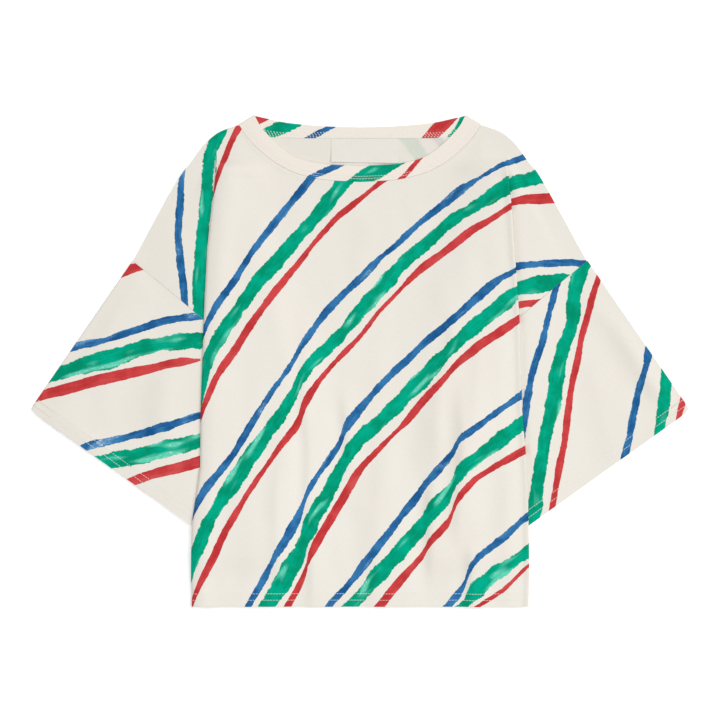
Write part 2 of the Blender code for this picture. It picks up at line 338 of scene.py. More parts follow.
RIGHT_SLEEVE_STROKES = (
    Stroke(
        Dye.BLUE, 3.4, ((197.0, 79.0), (184.0, 29.0), (170.5, -17.0), (162.5, -71.0))
    ),
    Stroke(
        Dye.GREEN,
        6.4,
        (
            (226.0, 100.0),
            (215.0, 73.0),
            (211.0, 38.0),
            (201.0, 6.0),
            (194.0, -32.0),
            (186.0, -71.0),
            (180.0, -105.0),
            (174.0, -151.0),
        ),
    ),
    Stroke(
        Dye.RED,
        3.4,
        (
            (238.0, 84.0),
            (228.0, 48.0),
            (218.0, 6.0),
            (209.0, -38.0),
            (204.0, -80.0),
            (197.0, -115.0),
            (192.0, -149.0),
        ),
    ),
    Stroke(Dye.BLUE, 3.8, ((288.0, 9.0), (280.0, -25.0), (272.0, -61.0), (263.0, -101.0))),
    Stroke(Dye.GREEN, 6.2, ((306.0, -17.0), (304.0, -38.0), (299.0, -69.0))),
    Stroke(Dye.RED, 2.9, ((323.0, -35.0), (317.0, -63.0))),
)

BAND_FRONT_STROKES = (
    Stroke(Dye.BLUE, 2.9, ((-70.0, 174.5), (-46.0, 185.0), (-21.5, 195.5), (0.0, 205.0))),
    Stroke(Dye.GREEN, 7.4, ((-24.0, 167.0), (0.0, 180.5), (25.0, 194.5), (50.0, 209.0))),
    Stroke(Dye.RED, 2.3, ((30.0, 169.5), (41.0, 181.0), (50.5, 191.0), (60.0, 202.0))),
)

BAND_BACK_STROKES = (
    Stroke(Dye.RED, 3.9, ((-122.0, 234.0), (-103.0, 241.0), (-90.0, 248.0))),
    Stroke(Dye.GREEN, 5.8, ((-110.0, 219.0), (-83.0, 230.5), (-68.0, 237.0), (-40.0, 249.0))),
    Stroke(Dye.BLUE, 2.7, ((-68.0, 212.0), (-50.0, 222.5), (-28.0, 234.5), (-14.0, 243.0))),
    Stroke(Dye.RED, 5.2, ((52.0, 205.0), (72.0, 225.5), (86.0, 240.5), (100.0, 255.0))),
    Stroke(Dye.GREEN, 2.4, ((85.5, 213.0), (96.5, 229.5), (105.5, 244.0), (113.5, 257.0))),
)

BACK_SHIFT = (67.0, 0.0)
BACK_REPEAT = (-72.0, -78.0)


def group_strokes(stations: Sequence[Station], red_half_width: float) -> list[Stroke]:
    """The blue, green and red strokes of one group."""
    half_width = {**HALF_WIDTH, Dye.RED: red_half_width}
    strokes = [Stroke(Dye.GREEN, HALF_WIDTH[Dye.GREEN], tuple((s.x, s.y) for s in stations))]
    for dye, sign in ((Dye.BLUE, 1.0), (Dye.RED, -1.0)):
        places = []
        for number, here in enumerate(stations):
            before = stations[max(number - 1, 0)]
            after = stations[min(number + 1, len(stations) - 1)]
            along = Vector((after.x - before.x, after.y - before.y)).normalized()
            distance = here.blue if dye is Dye.BLUE else here.red
            places.append(
                (here.x - along.y * sign * distance, here.y + along.x * sign * distance)
            )
        strokes.append(Stroke(dye, half_width[dye], tuple(places)))
    return strokes


def mirrored(strokes: Sequence[Stroke], shift: Plan = (0.0, 0.0)) -> list[Stroke]:
    """Strokes turned over left to right and shifted, for the back."""
    turned = []
    for stroke in strokes:
        places = tuple((shift[0] - x, shift[1] + y) for x, y in stroke.places)
        turned.append(Stroke(stroke.dye, stroke.half_width, places))
    return turned


@dataclass(frozen=True)
class Hand:
    """How a brush swells: in long and in short waves, each a share of its half width."""

    long_swell: float
    long_wave: float
    short_swell: float
    short_wave: float
    thinnest: float


HANDS = {
    Dye.BLUE: Hand(0.42, 46 * MM, 0.26, 17 * MM, 1.7 * MM),
    Dye.GREEN: Hand(0.36, 58 * MM, 0.30, 19 * MM, 3.8 * MM),
    Dye.RED: Hand(0.72, 74 * MM, 0.24, 26 * MM, 1.4 * MM),
}


@dataclass
class BrushPrint:
    """Painted strokes, which tell any place how far it is from the edge of each colour."""

    strokes: Sequence[Stroke]
    seed: int
    reach: float = 70 * MM
    sample: float = 1 * MM
    wander: float = 1.6 * MM
    wander_wave: float = 34 * MM
    tip: float = 0.15
    far: float = 0.2

    def __post_init__(self) -> None:
        """Sample the strokes and sort the samples for each colour."""
        self.trees: dict[Dye, kdtree.KDTree] = {}
        self.samples: dict[Dye, list[tuple[Vector, Vector, float, float]]] = {}
        for dye in Dye:
            samples = []
            for stroke in self.strokes:
                if stroke.dye is dye:
                    samples += self._sampled(stroke)
            tree = kdtree.KDTree(len(samples))
            for index, (place, _, _, _) in enumerate(samples):
                tree.insert((place.x, place.y, 0.0), index)
            tree.balance()
            self.trees[dye] = tree
            self.samples[dye] = samples

    def _sampled(self, stroke: Stroke) -> list[tuple[Vector, Vector, float, float]]:
        """Samples of a stroke, each a place, heading, length so far and half width."""
        run = smooth_run(stroke.places)
        start = (run[0] - run[1]).normalized() * self.reach
        stop = (run[-1] - run[-2]).normalized() * self.reach
        run = [run[0] + start, *run, run[-1] + stop]
        points = even_points(run, round(run_length(run) / self.sample))
        hand = HANDS[stroke.dye]
        dice = random.Random(f"{self.seed} {stroke.dye.name} {stroke.places[0]}")
        lane = dice.uniform(0, 500)
        end = (len(points) - 1) * self.sample - self.reach
        samples = []
        for index, point in enumerate(points):
            length = index * self.sample
            following = points[min(index + 1, len(points) - 1)]
            heading = (following - points[max(index - 1, 0)]).normalized()
            swell = hand.long_swell * ripple(length, 0, hand.long_wave, lane)
            swell += hand.short_swell * ripple(length, 0, hand.short_wave, lane + 9)
            half = max(stroke.half_width * MM * (1 + stroke.swell * swell), hand.thinnest)
            if stroke.taper:
                half *= min(max((end - length) / (stroke.taper * MM), 0.0) + self.tip, 1.0)
            aside = self.wander * ripple(length, 0, self.wander_wave, lane + 17)
            across = Vector((-heading.y, heading.x))
            samples.append((point + across * aside, heading, length + lane, half))
        return samples

    def read(self, place: Plan) -> tuple[tuple[float, float, float], Plan]:
        """Measure a place against the strokes.

        Args:
            place: A place in the print, in metres.

        Returns:
            How far the place lies outside the edge of each colour, and where it is along and
            across the stroke nearest to it.
        """
        edges = []
        nearest = (math.inf, (0.0, 0.0))
        for dye in Dye:
            if not self.samples[dye]:
                edges.append(self.far)
                continue
            _, index, distance = self.trees[dye].find((place[0], place[1], 0.0))
            point, heading, length, half = self.samples[dye][index]
            edge = distance - half
            offset = Vector(place) - point
            across = heading.x * offset.y - heading.y * offset.x
            along = length + heading.dot(offset)
            edges.append(edge)
            if edge < nearest[0]:
                nearest = (edge, (along, across))
        return tuple(edges), nearest[1]


# ---------------------------------------------------------------------------------------------
# Finishes
# ---------------------------------------------------------------------------------------------


class Graph:
    """A short way to write the node tree of a material."""

    def __init__(self, name: str) -> None:
        """Start a material with its Principled shader."""
        self.material = bpy.data.materials.new(name)
        self.material.use_nodes = True
        self.tree = self.material.node_tree
        self.shader = self.tree.nodes["Principled BSDF"]

    def node(self, kind: str, inputs: dict | None = None, **settings) -> bpy.types.Node:
        """Add a node.

        Args:
            kind: The node's type.
            inputs: A value or another node's output for each input, by name or number.
            **settings: The node's own properties.

        Returns:
            The node.
        """
        made = self.tree.nodes.new(kind)
        for key, value in settings.items():
            setattr(made, key, value)
        for key, value in (inputs or {}).items():
            if isinstance(value, bpy.types.NodeSocket):
                self.tree.links.new(value, made.inputs[key])
            else:
                made.inputs[key].default_value = value
        return made

    def math(self, operation: str, first, second=0.0, clamp: bool = False):
        """The result of a Math node."""
        made = self.node("ShaderNodeMath", {0: first, 1: second}, operation=operation)
        made.use_clamp = clamp
        return made.outputs[0]

    def ramp(self, value, low: float, high: float, to_low: float = 0.0, to_high: float = 1.0):
        """A value's smooth step from one range to another."""
        inputs = {"Value": value, 1: low, 2: high, 3: to_low, 4: to_high}
        made = self.node("ShaderNodeMapRange", inputs, interpolation_type="SMOOTHSTEP")
        return made.outputs[0]

    def blend(self, share, first, second, mode: str = "MIX"):
        """Two colours mixed."""
        made = self.node("ShaderNodeMix", data_type="RGBA", blend_type=mode)
        for socket, value in ((0, share), (6, first), (7, second)):
            if isinstance(value, bpy.types.NodeSocket):
                self.tree.links.new(value, made.inputs[socket])
            else:
                made.inputs[socket].default_value = value
        return made.outputs[2]

    def noise(self, vector, scale: float, detail: float = 2.0, rough: float = 0.5):
        """Noise from 0 to 1."""
        inputs = {"Vector": vector, "Scale": scale, "Detail": detail, "Roughness": rough}
        return self.node("ShaderNodeTexNoise", inputs).outputs[0]

    def scaled(self, vector, scale: tuple[float, float, float]):
        """A vector with each of its parts scaled."""
        inputs = {"Vector": vector, "Scale": scale}
        return self.node("ShaderNodeMapping", inputs).outputs[0]

    def bump(self, height, strength: float, distance: float, under=None):
        """A bump from a height from 0 to 1."""
        inputs = {"Height": height, "Strength": strength, "Distance": distance}
        if under is not None:
            inputs["Normal"] = under
        return self.node("ShaderNodeBump", inputs).outputs[0]

    def surface(self, **values) -> None:
        """Set or link the shader's own sockets, named with _ for a space."""
        for key, value in values.items():
            socket = self.shader.inputs[key.replace("_", " ")]
            if isinstance(value, bpy.types.NodeSocket):
                self.tree.links.new(value, socket)
            else:
                socket.default_value = value


@dataclass(frozen=True)
class Paint:
    """One colour of the print: its tones, how it frays, and how soon it thins and runs dry."""

    deep: Color
    light: Color
    pale: Color
    fray: float
    wash: float
    dry_from: float


BLUE_PAINT = Paint(
    deep=(0.010, 0.092, 0.262, 1.0),
    light=(0.040, 0.196, 0.440, 1.0),
    pale=(0.170, 0.380, 0.630, 1.0),
    fray=0.9,
    wash=0.24,
    dry_from=0.76,
)
GREEN_PAINT = Paint(
    deep=(0.0, 0.275, 0.148, 1.0),
    light=(0.0, 0.412, 0.255, 1.0),
    pale=(0.120, 0.640, 0.460, 1.0),
    fray=1.4,
    wash=0.80,
    dry_from=0.765,
)
RED_PAINT = Paint(
    deep=(0.500, 0.034, 0.037, 1.0),
    light=(0.655, 0.066, 0.068, 1.0),
    pale=(0.680, 0.150, 0.145, 1.0),
    fray=0.6,
    wash=0.22,
    dry_from=0.88,
)


@dataclass(frozen=True)
class PaintedJersey:
    """Cream cotton jersey with the painted stripes on its right side.

    A range holds the two noise values that a ramp spreads, a bump its strength and depth, and
    a stray a noise scale and how far it moves a stroke's edge, in millimetres.
    """

    name: str
    ground: Color = (0.833, 0.803, 0.733, 1.0)
    warm: Color = (0.842, 0.796, 0.720, 1.0)
    paints: tuple[tuple[Dye, Paint], ...] = (
        (Dye.BLUE, BLUE_PAINT),
        (Dye.GREEN, GREEN_PAINT),
        (Dye.RED, RED_PAINT),
    )
    strength: float = 1.0
    softness: float = 0.16
    wash_from: float = 0.57
    wash_run: float = 0.16
    wash_scale: Scale = (24.0, 95.0, 1.0)
    wale: float = 0.9 * MM
    loop_share: float = 0.75
    roughness: float = 0.92
    sheen: float = 0.012
    sheen_roughness: float = 0.6
    gloss: float = 0.03
    mottle_scale: float = 14.0
    mottle_range: Span = (0.35, 0.65)
    fibre_scale: Scale = (900.0, 260.0, 1.0)
    fibre_range: Span = (0.3, 0.7)
    darkest_speck: float = 0.974
    blot_scale: float = 55.0
    strand_scale: Scale = (60.0, 600.0, 1.0)
    strand_share: float = 0.3
    tone_range: Span = (0.36, 0.64)
    strays: tuple[Span, ...] = ((1500.0, 0.9), (330.0, 1.7), (110.0, 2.6))
    streak_scale: Scale = (170.0, 1150.0, 1.0)
    dab_scale: float = 620.0
    streak_share: float = 0.55
    patch_share: float = 0.22
    rough_paint: float = 0.6
    dry_run: float = 0.10
    bare: float = 0.08
    thin_range: Span = (-0.16, 0.02)
    thinnest: float = 0.6
    lint_scale: float = 1100.0
    knit_bump: Span = (0.30, 0.12 * MM)
    lint_bump: Span = (0.25, 0.10 * MM)

    def build(self) -> bpy.types.Material:
        """Make the material.

        Returns:
            A material that reads the paint attribute and the brush and grain UV maps.
        """
        graph = Graph(self.name)
        where = graph.node("ShaderNodeTexCoord").outputs["Object"]
        brush = graph.node("ShaderNodeUVMap", uv_map="brush").outputs[0]
        grain = graph.node("ShaderNodeUVMap", uv_map="grain").outputs[0]
        paint = graph.node("ShaderNodeAttribute", attribute_name="paint").outputs["Vector"]
        edges = graph.node("ShaderNodeSeparateXYZ", {0: paint}).outputs

        mottle = graph.noise(where, self.mottle_scale, 3.0)
        color = graph.blend(graph.ramp(mottle, *self.mottle_range), self.ground, self.warm)
        fibre = graph.noise(graph.scaled(grain, self.fibre_scale), 1.0, 2.0)
        speck = graph.ramp(fibre, *self.fibre_range, self.darkest_speck, 1.0)
        tint = graph.node("ShaderNodeCombineColor", {0: speck, 1: speck, 2: speck}).outputs[0]
        color = graph.blend(1.0, color, tint, "MULTIPLY")

        fray = self._fray(graph, where)
        patch = graph.noise(graph.scaled(brush, self.wash_scale), 1.0, 1.0)
        patch = graph.ramp(patch, self.wash_from, self.wash_from + self.wash_run)
        dry = self._dryness(graph, where, brush, patch)
        tone = self._tone(graph, where, brush)
        for dye, kind in self.paints:
            edge = graph.math("MULTIPLY", edges[dye.value], 1 / MM)
            edge = graph.math("ADD", edge, graph.math("MULTIPLY", fray, kind.fray))
            mask = graph.ramp(edge, -self.softness, self.softness, 1.0, 0.0)
            gone = kind.dry_from + self.dry_run
            cover = graph.ramp(dry, kind.dry_from, gone, self.strength, self.bare)
            mask = graph.math("MULTIPLY", mask, cover, clamp=True)
            wet = graph.blend(graph.ramp(tone, *self.tone_range), kind.deep, kind.light)
            thin_from, thin_to = (kind.dry_from + offset for offset in self.thin_range)
            thin = graph.ramp(dry, thin_from, thin_to, 0.0, self.thinnest)
            thin = graph.math("ADD", thin, graph.math("MULTIPLY", patch, kind.wash), clamp=True)
            color = graph.blend(mask, color, graph.blend(thin, wet, kind.pale))

        height = self._knit(graph, grain)
        lint = graph.noise(where, self.lint_scale, 2.0)
        knit = graph.bump(height, *self.knit_bump)
        rough = graph.bump(lint, *self.lint_bump, under=knit)
        graph.surface(
            Base_Color=color,
            Roughness=self.roughness,
            Sheen_Weight=self.sheen,
            Sheen_Roughness=self.sheen_roughness,
            Specular_IOR_Level=self.gloss,
            Normal=rough,
        )
        return graph.material

    def _fray(self, graph: Graph, where):
        """How far the brush strays in or out, in millimetres."""
        total = None
        for scale, amount in self.strays:
            stray = graph.math("SUBTRACT", graph.noise(where, scale, 2.0), 0.5)
            stray = graph.math("MULTIPLY", stray, amount)
            total = stray if total is None else graph.math("ADD", stray, total)
        return total

    def _tone(self, graph: Graph, where, brush):
        """How light the wet paint is: blots, and strands along the stroke."""
        blots = graph.noise(where, self.blot_scale, 3.0, self.rough_paint)
        strands = graph.noise(graph.scaled(brush, self.strand_scale), 1.0, 2.0)
        blots = graph.math("MULTIPLY", blots, 1 - self.strand_share)
        return graph.math("ADD", blots, graph.math("MULTIPLY", strands, self.strand_share))

    def _dryness(self, graph: Graph, where, brush, patch):
        """How dry the bristles are: about 0.5, and more in long patches along the stroke."""
        streaks = graph.noise(graph.scaled(brush, self.streak_scale), 1.0, 3.0, self.rough_paint)
        dabs = graph.noise(where, self.dab_scale, 2.0, self.rough_paint)
        streaks = graph.math("MULTIPLY", streaks, self.streak_share)
        dabs = graph.math("MULTIPLY", dabs, 1 - self.streak_share)
        bristle = graph.math("ADD", streaks, dabs)
        return graph.math("ADD", bristle, graph.math("MULTIPLY", patch, self.patch_share))

    def _knit(self, graph: Graph, grain):
        """The height of the jersey's wales of small Vs, from 0 to 1."""
        parts = graph.node("ShaderNodeSeparateXYZ", {0: grain}).outputs
        across = graph.math("MULTIPLY", parts[0], math.tau / self.wale)
        along = graph.math("MULTIPLY", parts[1], math.tau / (self.loop_share * self.wale))
        wales = graph.math("COSINE", across)
        slant = graph.math("ADD", along, graph.math("MULTIPLY", graph.math("ABSOLUTE", wales), 2.0))
        loops = graph.math("SINE", slant)
        height = graph.math("ADD", graph.math("MULTIPLY", wales, 0.3), 0.5)
        return graph.math("ADD", height, graph.math("MULTIPLY", loops, 0.2))


@dataclass(frozen=True)
class WovenLabelFinish:
    """Off-white woven label: fine ribs, slightly shiny."""

    name: str = "label_weave"
    light: Color = (0.845, 0.815, 0.750, 1.0)
    shade: Color = (0.785, 0.752, 0.685, 1.0)
    weft: float = 0.42 * MM
    warp: float = 0.6 * MM
    depth: float = 0.08 * MM

    def build(self) -> bpy.types.Material:
        """Make the material."""
        graph = Graph(self.name)
        grain = graph.node("ShaderNodeUVMap", uv_map="grain").outputs[0]
        parts = graph.node("ShaderNodeSeparateXYZ", {0: grain}).outputs
        weft = graph.math("SINE", graph.math("MULTIPLY", parts[1], math.tau / self.weft))
        warp = graph.math("SINE", graph.math("MULTIPLY", parts[0], math.tau / self.warp))
        weave = graph.math("MULTIPLY_ADD", graph.math("MULTIPLY", weft, warp), 0.5)
        weave.node.inputs[2].default_value = 0.5
        drift = graph.noise(grain, 90.0, 3.0)
        weave_part = graph.math("MULTIPLY", weave, 0.5)
        share = graph.math("ADD", weave_part, graph.math("MULTIPLY", drift, 0.5))
        graph.surface(
            Base_Color=graph.blend(share, self.shade, self.light),
            Roughness=0.55,
            Sheen_Weight=0.15,
            Specular_IOR_Level=0.35,
            Normal=graph.bump(weave, 0.5, self.depth),
        )
        return graph.material


@dataclass(frozen=True)
class ThreadFinish:
    """Cream polyester sewing thread with a twist."""

    name: str = "sewing_thread"
    light: Color = (0.90, 0.87, 0.81, 1.0)
    shade: Color = (0.78, 0.74, 0.67, 1.0)

    def build(self) -> bpy.types.Material:
        """Make the material."""
        graph = Graph(self.name)
        where = graph.node("ShaderNodeTexCoord").outputs["Object"]
        twist = graph.noise(where, 1800.0, 1.0)
        graph.surface(
            Base_Color=graph.blend(graph.ramp(twist, 0.3, 0.7), self.shade, self.light),
            Roughness=0.5,
            Specular_IOR_Level=0.4,
            Sheen_Weight=0.1,
            Normal=graph.bump(twist, 0.4, 0.05 * MM),
        )
        return graph.material


@dataclass(frozen=True)
class PaperFinish:
    """The plain pale floor."""

    name: str = "pale_floor"
    color: Color = (0.97, 0.97, 0.97, 1.0)
    glow: float = 0.22

    def build(self) -> bpy.types.Material:
        """Make the material."""
        graph = Graph(self.name)
        graph.surface(
            Base_Color=self.color,
            Roughness=0.9,
            Specular_IOR_Level=0.1,
            Emission_Color=self.color,
            Emission_Strength=self.glow,
        )
        return graph.material


# ---------------------------------------------------------------------------------------------
# Cloth
# ---------------------------------------------------------------------------------------------


@dataclass
class ClothMesh:
    """The points and quads of one sheet of cloth, with where each point lies in the print."""

    points: list[tuple[float, float, float]] = field(default_factory=list)
    places: list[Plan] = field(default_factory=list)
    grains: list[Plan] = field(default_factory=list)
    zones: list[Zone] = field(default_factory=list)
    quads: list[tuple[int, int, int, int]] = field(default_factory=list)

    def add(
        self, point: Sequence[float], place: Plan, zone: Zone = Zone.MAIN, turn: float = 0.0
    ) -> int:
        """Add a point.

        Args:
            point: Where it is, in metres.
            place: Where it lies in the print.
            zone: Which strokes it carries.
            turn: How far the grain is turned from the shirt's middle line.

        Returns:
            The point's number.
        """
        self.points.append(tuple(point))
        self.places.append(tuple(place))
        cosine, sine = math.cos(turn), math.sin(turn)
        x, y = place[0], place[1]
        self.grains.append((x * cosine + y * sine, y * cosine - x * sine))
        self.zones.append(zone)
        return len(self.points) - 1

    def skin(self, rows: Sequence[Sequence[int]], ring: bool = False, flip: bool = False) -> None:
        """Join rows of point numbers with quads, and close each row if it is a ring."""
        columns = len(rows[0])
        for lower, upper in zip(rows, rows[1:]):
            for start in range(columns if ring else columns - 1):
                stop = (start + 1) % columns
                quad = (lower[start], lower[stop], upper[stop], upper[start])
                self.quads.append(tuple(reversed(quad)) if flip else quad)

    def finish(
        self,
        name: str,
        wall: float,
        prints: dict[Zone, BrushPrint],
        outside: bpy.types.Material,
        inside: bpy.types.Material,
    ) -> bpy.types.Object:
        """Make the sheet an object with its print and a wall.

        Args:
            name: The piece's name.
            wall: The cloth's thickness.
            prints: The strokes of each zone.
            outside: The right side's finish.
            inside: The wrong side's finish.

        Returns:
            The piece.
        """
        data = bpy.data.meshes.new(name)
        data.from_pydata(self.points, [], self.quads)
        data.shade_smooth()
        paint = data.attributes.new("paint", "FLOAT_VECTOR", "POINT")
        brush = []
        edges = []
        for place, zone in zip(self.places, self.zones):
            found = prints[zone].read(place) if zone in prints else ((0.2,) * 3, (0.0, 0.0))
            edges.extend(found[0])
            brush.append(found[1])
        paint.data.foreach_set("vector", edges)
        corners = np.empty(len(data.loops), dtype=np.int32)
        data.loops.foreach_get("vertex_index", corners)
        for map_name, values in (("brush", brush), ("grain", self.grains)):
            layer = data.uv_layers.new(name=map_name)
            layer.data.foreach_set("uv", np.array(values, dtype=np.float32)[corners].ravel())
        data.materials.append(outside)
        data.materials.append(inside)
        piece = bpy.data.objects.new(name, data)
        bpy.context.scene.collection.objects.link(piece)
        solidify = piece.modifiers.new("wall", "SOLIDIFY")
        solidify.thickness = wall
        solidify.offset = 0
        solidify.use_even_offset = False
        solidify.material_offset = 1
        solidify.material_offset_rim = 0
        graph = bpy.context.evaluated_depsgraph_get()
        walled = bpy.data.meshes.new_from_object(piece.evaluated_get(graph))
        walled.set_sharp_from_angle(angle=math.radians(50))
        piece.modifiers.clear()
        piece.data = walled
        walled.name = name
        return piece


@dataclass(frozen=True)
class CreaseRow:
    """How far from the middle each side turns under at a height, in millimetres."""

    y: float
    left: float
    right: float


# A soft fold's shape. Its ridge and trough are in shares of the fold's own width, the fade in
# shares of its length, and its waver and the print's slip in millimetres.
FADE_RUN = 0.5
FOLD_WAVER = 1.2
FOLD_WAVE = 19
FOLD_FAR = 6
RIDGE_AT = 0.7
RIDGE_STEEP = 0.6
RIDGE_SOFT = 1.7
TROUGH_AT = -0.75
TROUGH_WIDTH = 0.7
TROUGH_DEPTH = 0.3
SLIP_WIDTH = 3.4
SLIP_REACH = 20


@dataclass(frozen=True)
class SoftFold:
    """A soft fold in the laid cloth, in millimetres: its steep side looks to the left.

    It runs up the shirt with a lean, and it hides some of the cloth's width in its steep side.
    """

    x: float
    low: float
    high: float
    width: float
    height: float
    lean: float = 0.0
    hidden: float = 0.0

    def fade(self, y: float) -> float:
        """The share of its size that it has at a height."""
        share = (y - self.low) / (self.high - self.low)
        half = FADE_RUN / 2
        return ease((share + half) / FADE_RUN) * ease((1 + half - share) / FADE_RUN)

    def offset(self, x: float, y: float) -> float:
        """How far right of its line a place is."""
        share = (y - self.low) / (self.high - self.low)
        waver = FOLD_WAVER * math.sin(y / FOLD_WAVE)
        return x - self.x - self.lean * (share - 0.5) - waver

    def rise(self, x: float, y: float) -> float:
        """Its height at a place in millimetres, in metres: a trough, then a ridge."""
        offset = self.offset(x, y) / self.width
        fade = self.fade(y)
        if fade == 0 or abs(offset) > FOLD_FAR:
            return 0.0
        width = RIDGE_STEEP if offset < RIDGE_AT else RIDGE_SOFT
        ridge = bell(offset - RIDGE_AT, width)
        trough = TROUGH_DEPTH * bell(offset - TROUGH_AT, TROUGH_WIDTH)
        return self.height * MM * fade * (ridge - trough)

    def slip(self, x: float, y: float) -> float:
        """How far the print slips sideways at a place in millimetres, in metres."""
        if self.hidden == 0:
            return 0.0
        offset = self.offset(x, y)
        slip = math.tanh(offset / SLIP_WIDTH) * math.exp(-abs(offset) / SLIP_REACH)
        return 0.5 * self.hidden * MM * slip * self.fade(y)


@dataclass
class Lay:
    """How the shirt lies: its creases, folds and levels, which all the cloth shares."""

    wall: float = 0.8 * MM
    solid_wall: float = 1.0 * MM
    seam_gap: float = 0.3 * MM
    shown_gap: float = 0.075 * MM
    hem_y: float = -245.5 * MM
    sleeve_end_y: float = -190.0 * MM
    underarm_y: float = -22.0 * MM
    crease_top_y: float = 224.5 * MM
    fold_closed_y: float = 181.0 * MM
    fold_open_y: float = 206.0 * MM
    shortest_fold: float = 1.0 * MM
    underarm_tuck: float = 75.0 * MM
    hem_tuck: float = 50.0 * MM
    level_edge: float = 8.0 * MM
    level_run: float = 56.0 * MM
    shoulder_run: float = 130.0 * MM
    swell_height: float = 2.7 * MM
    swell_start: float = 3.8 * MM
    swell_reach: float = 38.0 * MM
    hump_edge: float = 8.0 * MM
    hump_run: float = 52.0 * MM
    hem_settle: float = 30.0 * MM
    loft: float = 1.2 * MM
    fold_puff: float = 1.0 * MM
    sleeve_turn: float = math.radians(34)
    shoulder_tip: Vector = field(default_factory=lambda: Vector((226.5, 99.0)) * MM)
    underarm: Vector = field(default_factory=lambda: Vector((84.0, -27.5)) * MM)
    cuff_top: Vector = field(default_factory=lambda: Vector((329.0, -50.0)) * MM)
    cuff_under: Vector = field(default_factory=lambda: Vector((160.0, -170.5)) * MM)
    armhole_bow: float = 3.0 * MM
    creases: tuple[CreaseRow, ...] = (
        CreaseRow(-245.5, 166.8, 167.2),
        CreaseRow(-214.5, 167.6, 167.8),
        CreaseRow(-163.5, 166.6, 166.9),
        CreaseRow(-129.5, 161.5, 166.4),
        CreaseRow(-105.5, 158.3, 165.2),
        CreaseRow(-49.5, 157.7, 160.6),
        CreaseRow(41.5, 154.6, 157.9),
        CreaseRow(108.5, 151.4, 153.3),
        CreaseRow(147.5, 147.4, 150.6),
        CreaseRow(179.5, 143.3, 147.6),
        CreaseRow(195.0, 142.3, 146.3),
        CreaseRow(224.5, 144.5, 145.0),
    )

    def __post_init__(self) -> None:
        """Work out the layer heights."""
        self.layer = self.solid_wall + self.seam_gap
        self.bend = self.layer / 2
        heights = [row.y * MM for row in self.creases]
        self.crease_table = {
            Side.LEFT: (heights, [row.left * MM for row in self.creases]),
            Side.RIGHT: (heights, [row.right * MM for row in self.creases]),
        }

    def crease_x(self, side: Side, y: float) -> float:
        """How far from the middle the body turns under at a height."""
        return float(np.interp(y, *self.crease_table[side]))

    def fold_turn(self, y: float) -> float:
        """The angle that the cloth turns through at each of a wedge's two folds."""
        return math.pi * ease((self.fold_open_y - y) / (self.fold_open_y - self.fold_closed_y))

    def tuck(self, side: Side, y: float) -> float:
        """The width turned in at a height."""
        if y < self.underarm_y:
            share = (y - self.hem_y) / (self.underarm_y - self.hem_y)
            return mix(self.hem_tuck, self.underarm_tuck, share)
        if y > self.fold_closed_y:
            return self.shortest_fold
        share = (y - self.underarm_y) / (self.fold_closed_y - self.underarm_y)
        bottom = self.crease_x(side, self.underarm_y) - self.underarm_tuck
        top = self.crease_x(side, self.fold_closed_y) - self.shortest_fold
        return self.crease_x(side, y) - mix(bottom, top, share)

    def fold_rise(self, y: float) -> float:
        """The height between a panel's top and its shoulder part, across the two folds."""
        turn = self.fold_turn(y)
        return 2 * self.bend * (1 - math.cos(turn)) + self.shortest_fold * math.sin(turn)

    def puff(self, y: float) -> float:
        """How far the front stands off the back where the wedge begins to close."""
        return self.fold_puff * math.sin(self.fold_turn(y))

    def shoulder_share(self, y: float) -> float:
        """The share of the folds' full height that the shoulder part has at a height."""
        return ease((self.crease_top_y - y) / self.shoulder_run)

    def lifted(self, side: Side, point: Vector) -> float:
        """The share of its full rise that a sleeve or shoulder part still has at a place."""
        outside = point.x - self.crease_x(side, point.y) - self.level_edge
        return 1 - ease(outside / self.level_run)

    def swell(self, side: Side, point: Vector) -> float:
        """How far the cloth outside the right crease swells up: the crease is a valley."""
        outside = point.x - self.crease_x(side, point.y)
        if side is Side.LEFT or outside <= 0:
            return 0.0
        start = 1 - math.exp(-((outside / self.swell_start) ** 2))
        return self.swell_height * start * math.exp(-((outside / self.swell_reach) ** 2))

    def front_crease_height(self, y: float) -> float:
        """The front's height along its crease."""
        sleeves_below = ease((y - self.sleeve_end_y + self.hem_settle) / self.hem_settle)
        return self.layer + self.puff(y) + self.fold_rise(y) * (1 + sleeves_below)

    def front_height(self, side: Side, x: float, y: float) -> float:
        """The front's plain height between its creases."""
        inside = self.crease_x(side, y) - self.tuck(side, y) - self.hump_edge - x
        crease = self.front_crease_height(y)
        rise = ease((self.crease_top_y - y) / (self.crease_top_y - self.underarm_y))
        middle = self.layer + self.loft * rise
        return mix(min(middle, crease), crease, 1 - ease(inside / self.hump_run))

    def armhole(self, share: float) -> Vector:
        """A point of the armhole seam, from the underarm to the shoulder tip."""
        chord = self.shoulder_tip - self.underarm
        outwards = Vector((chord.y, -chord.x)).normalized()
        bow = outwards * self.armhole_bow * math.sin(math.pi * share)
        return mix(self.underarm, self.shoulder_tip, share) - bow


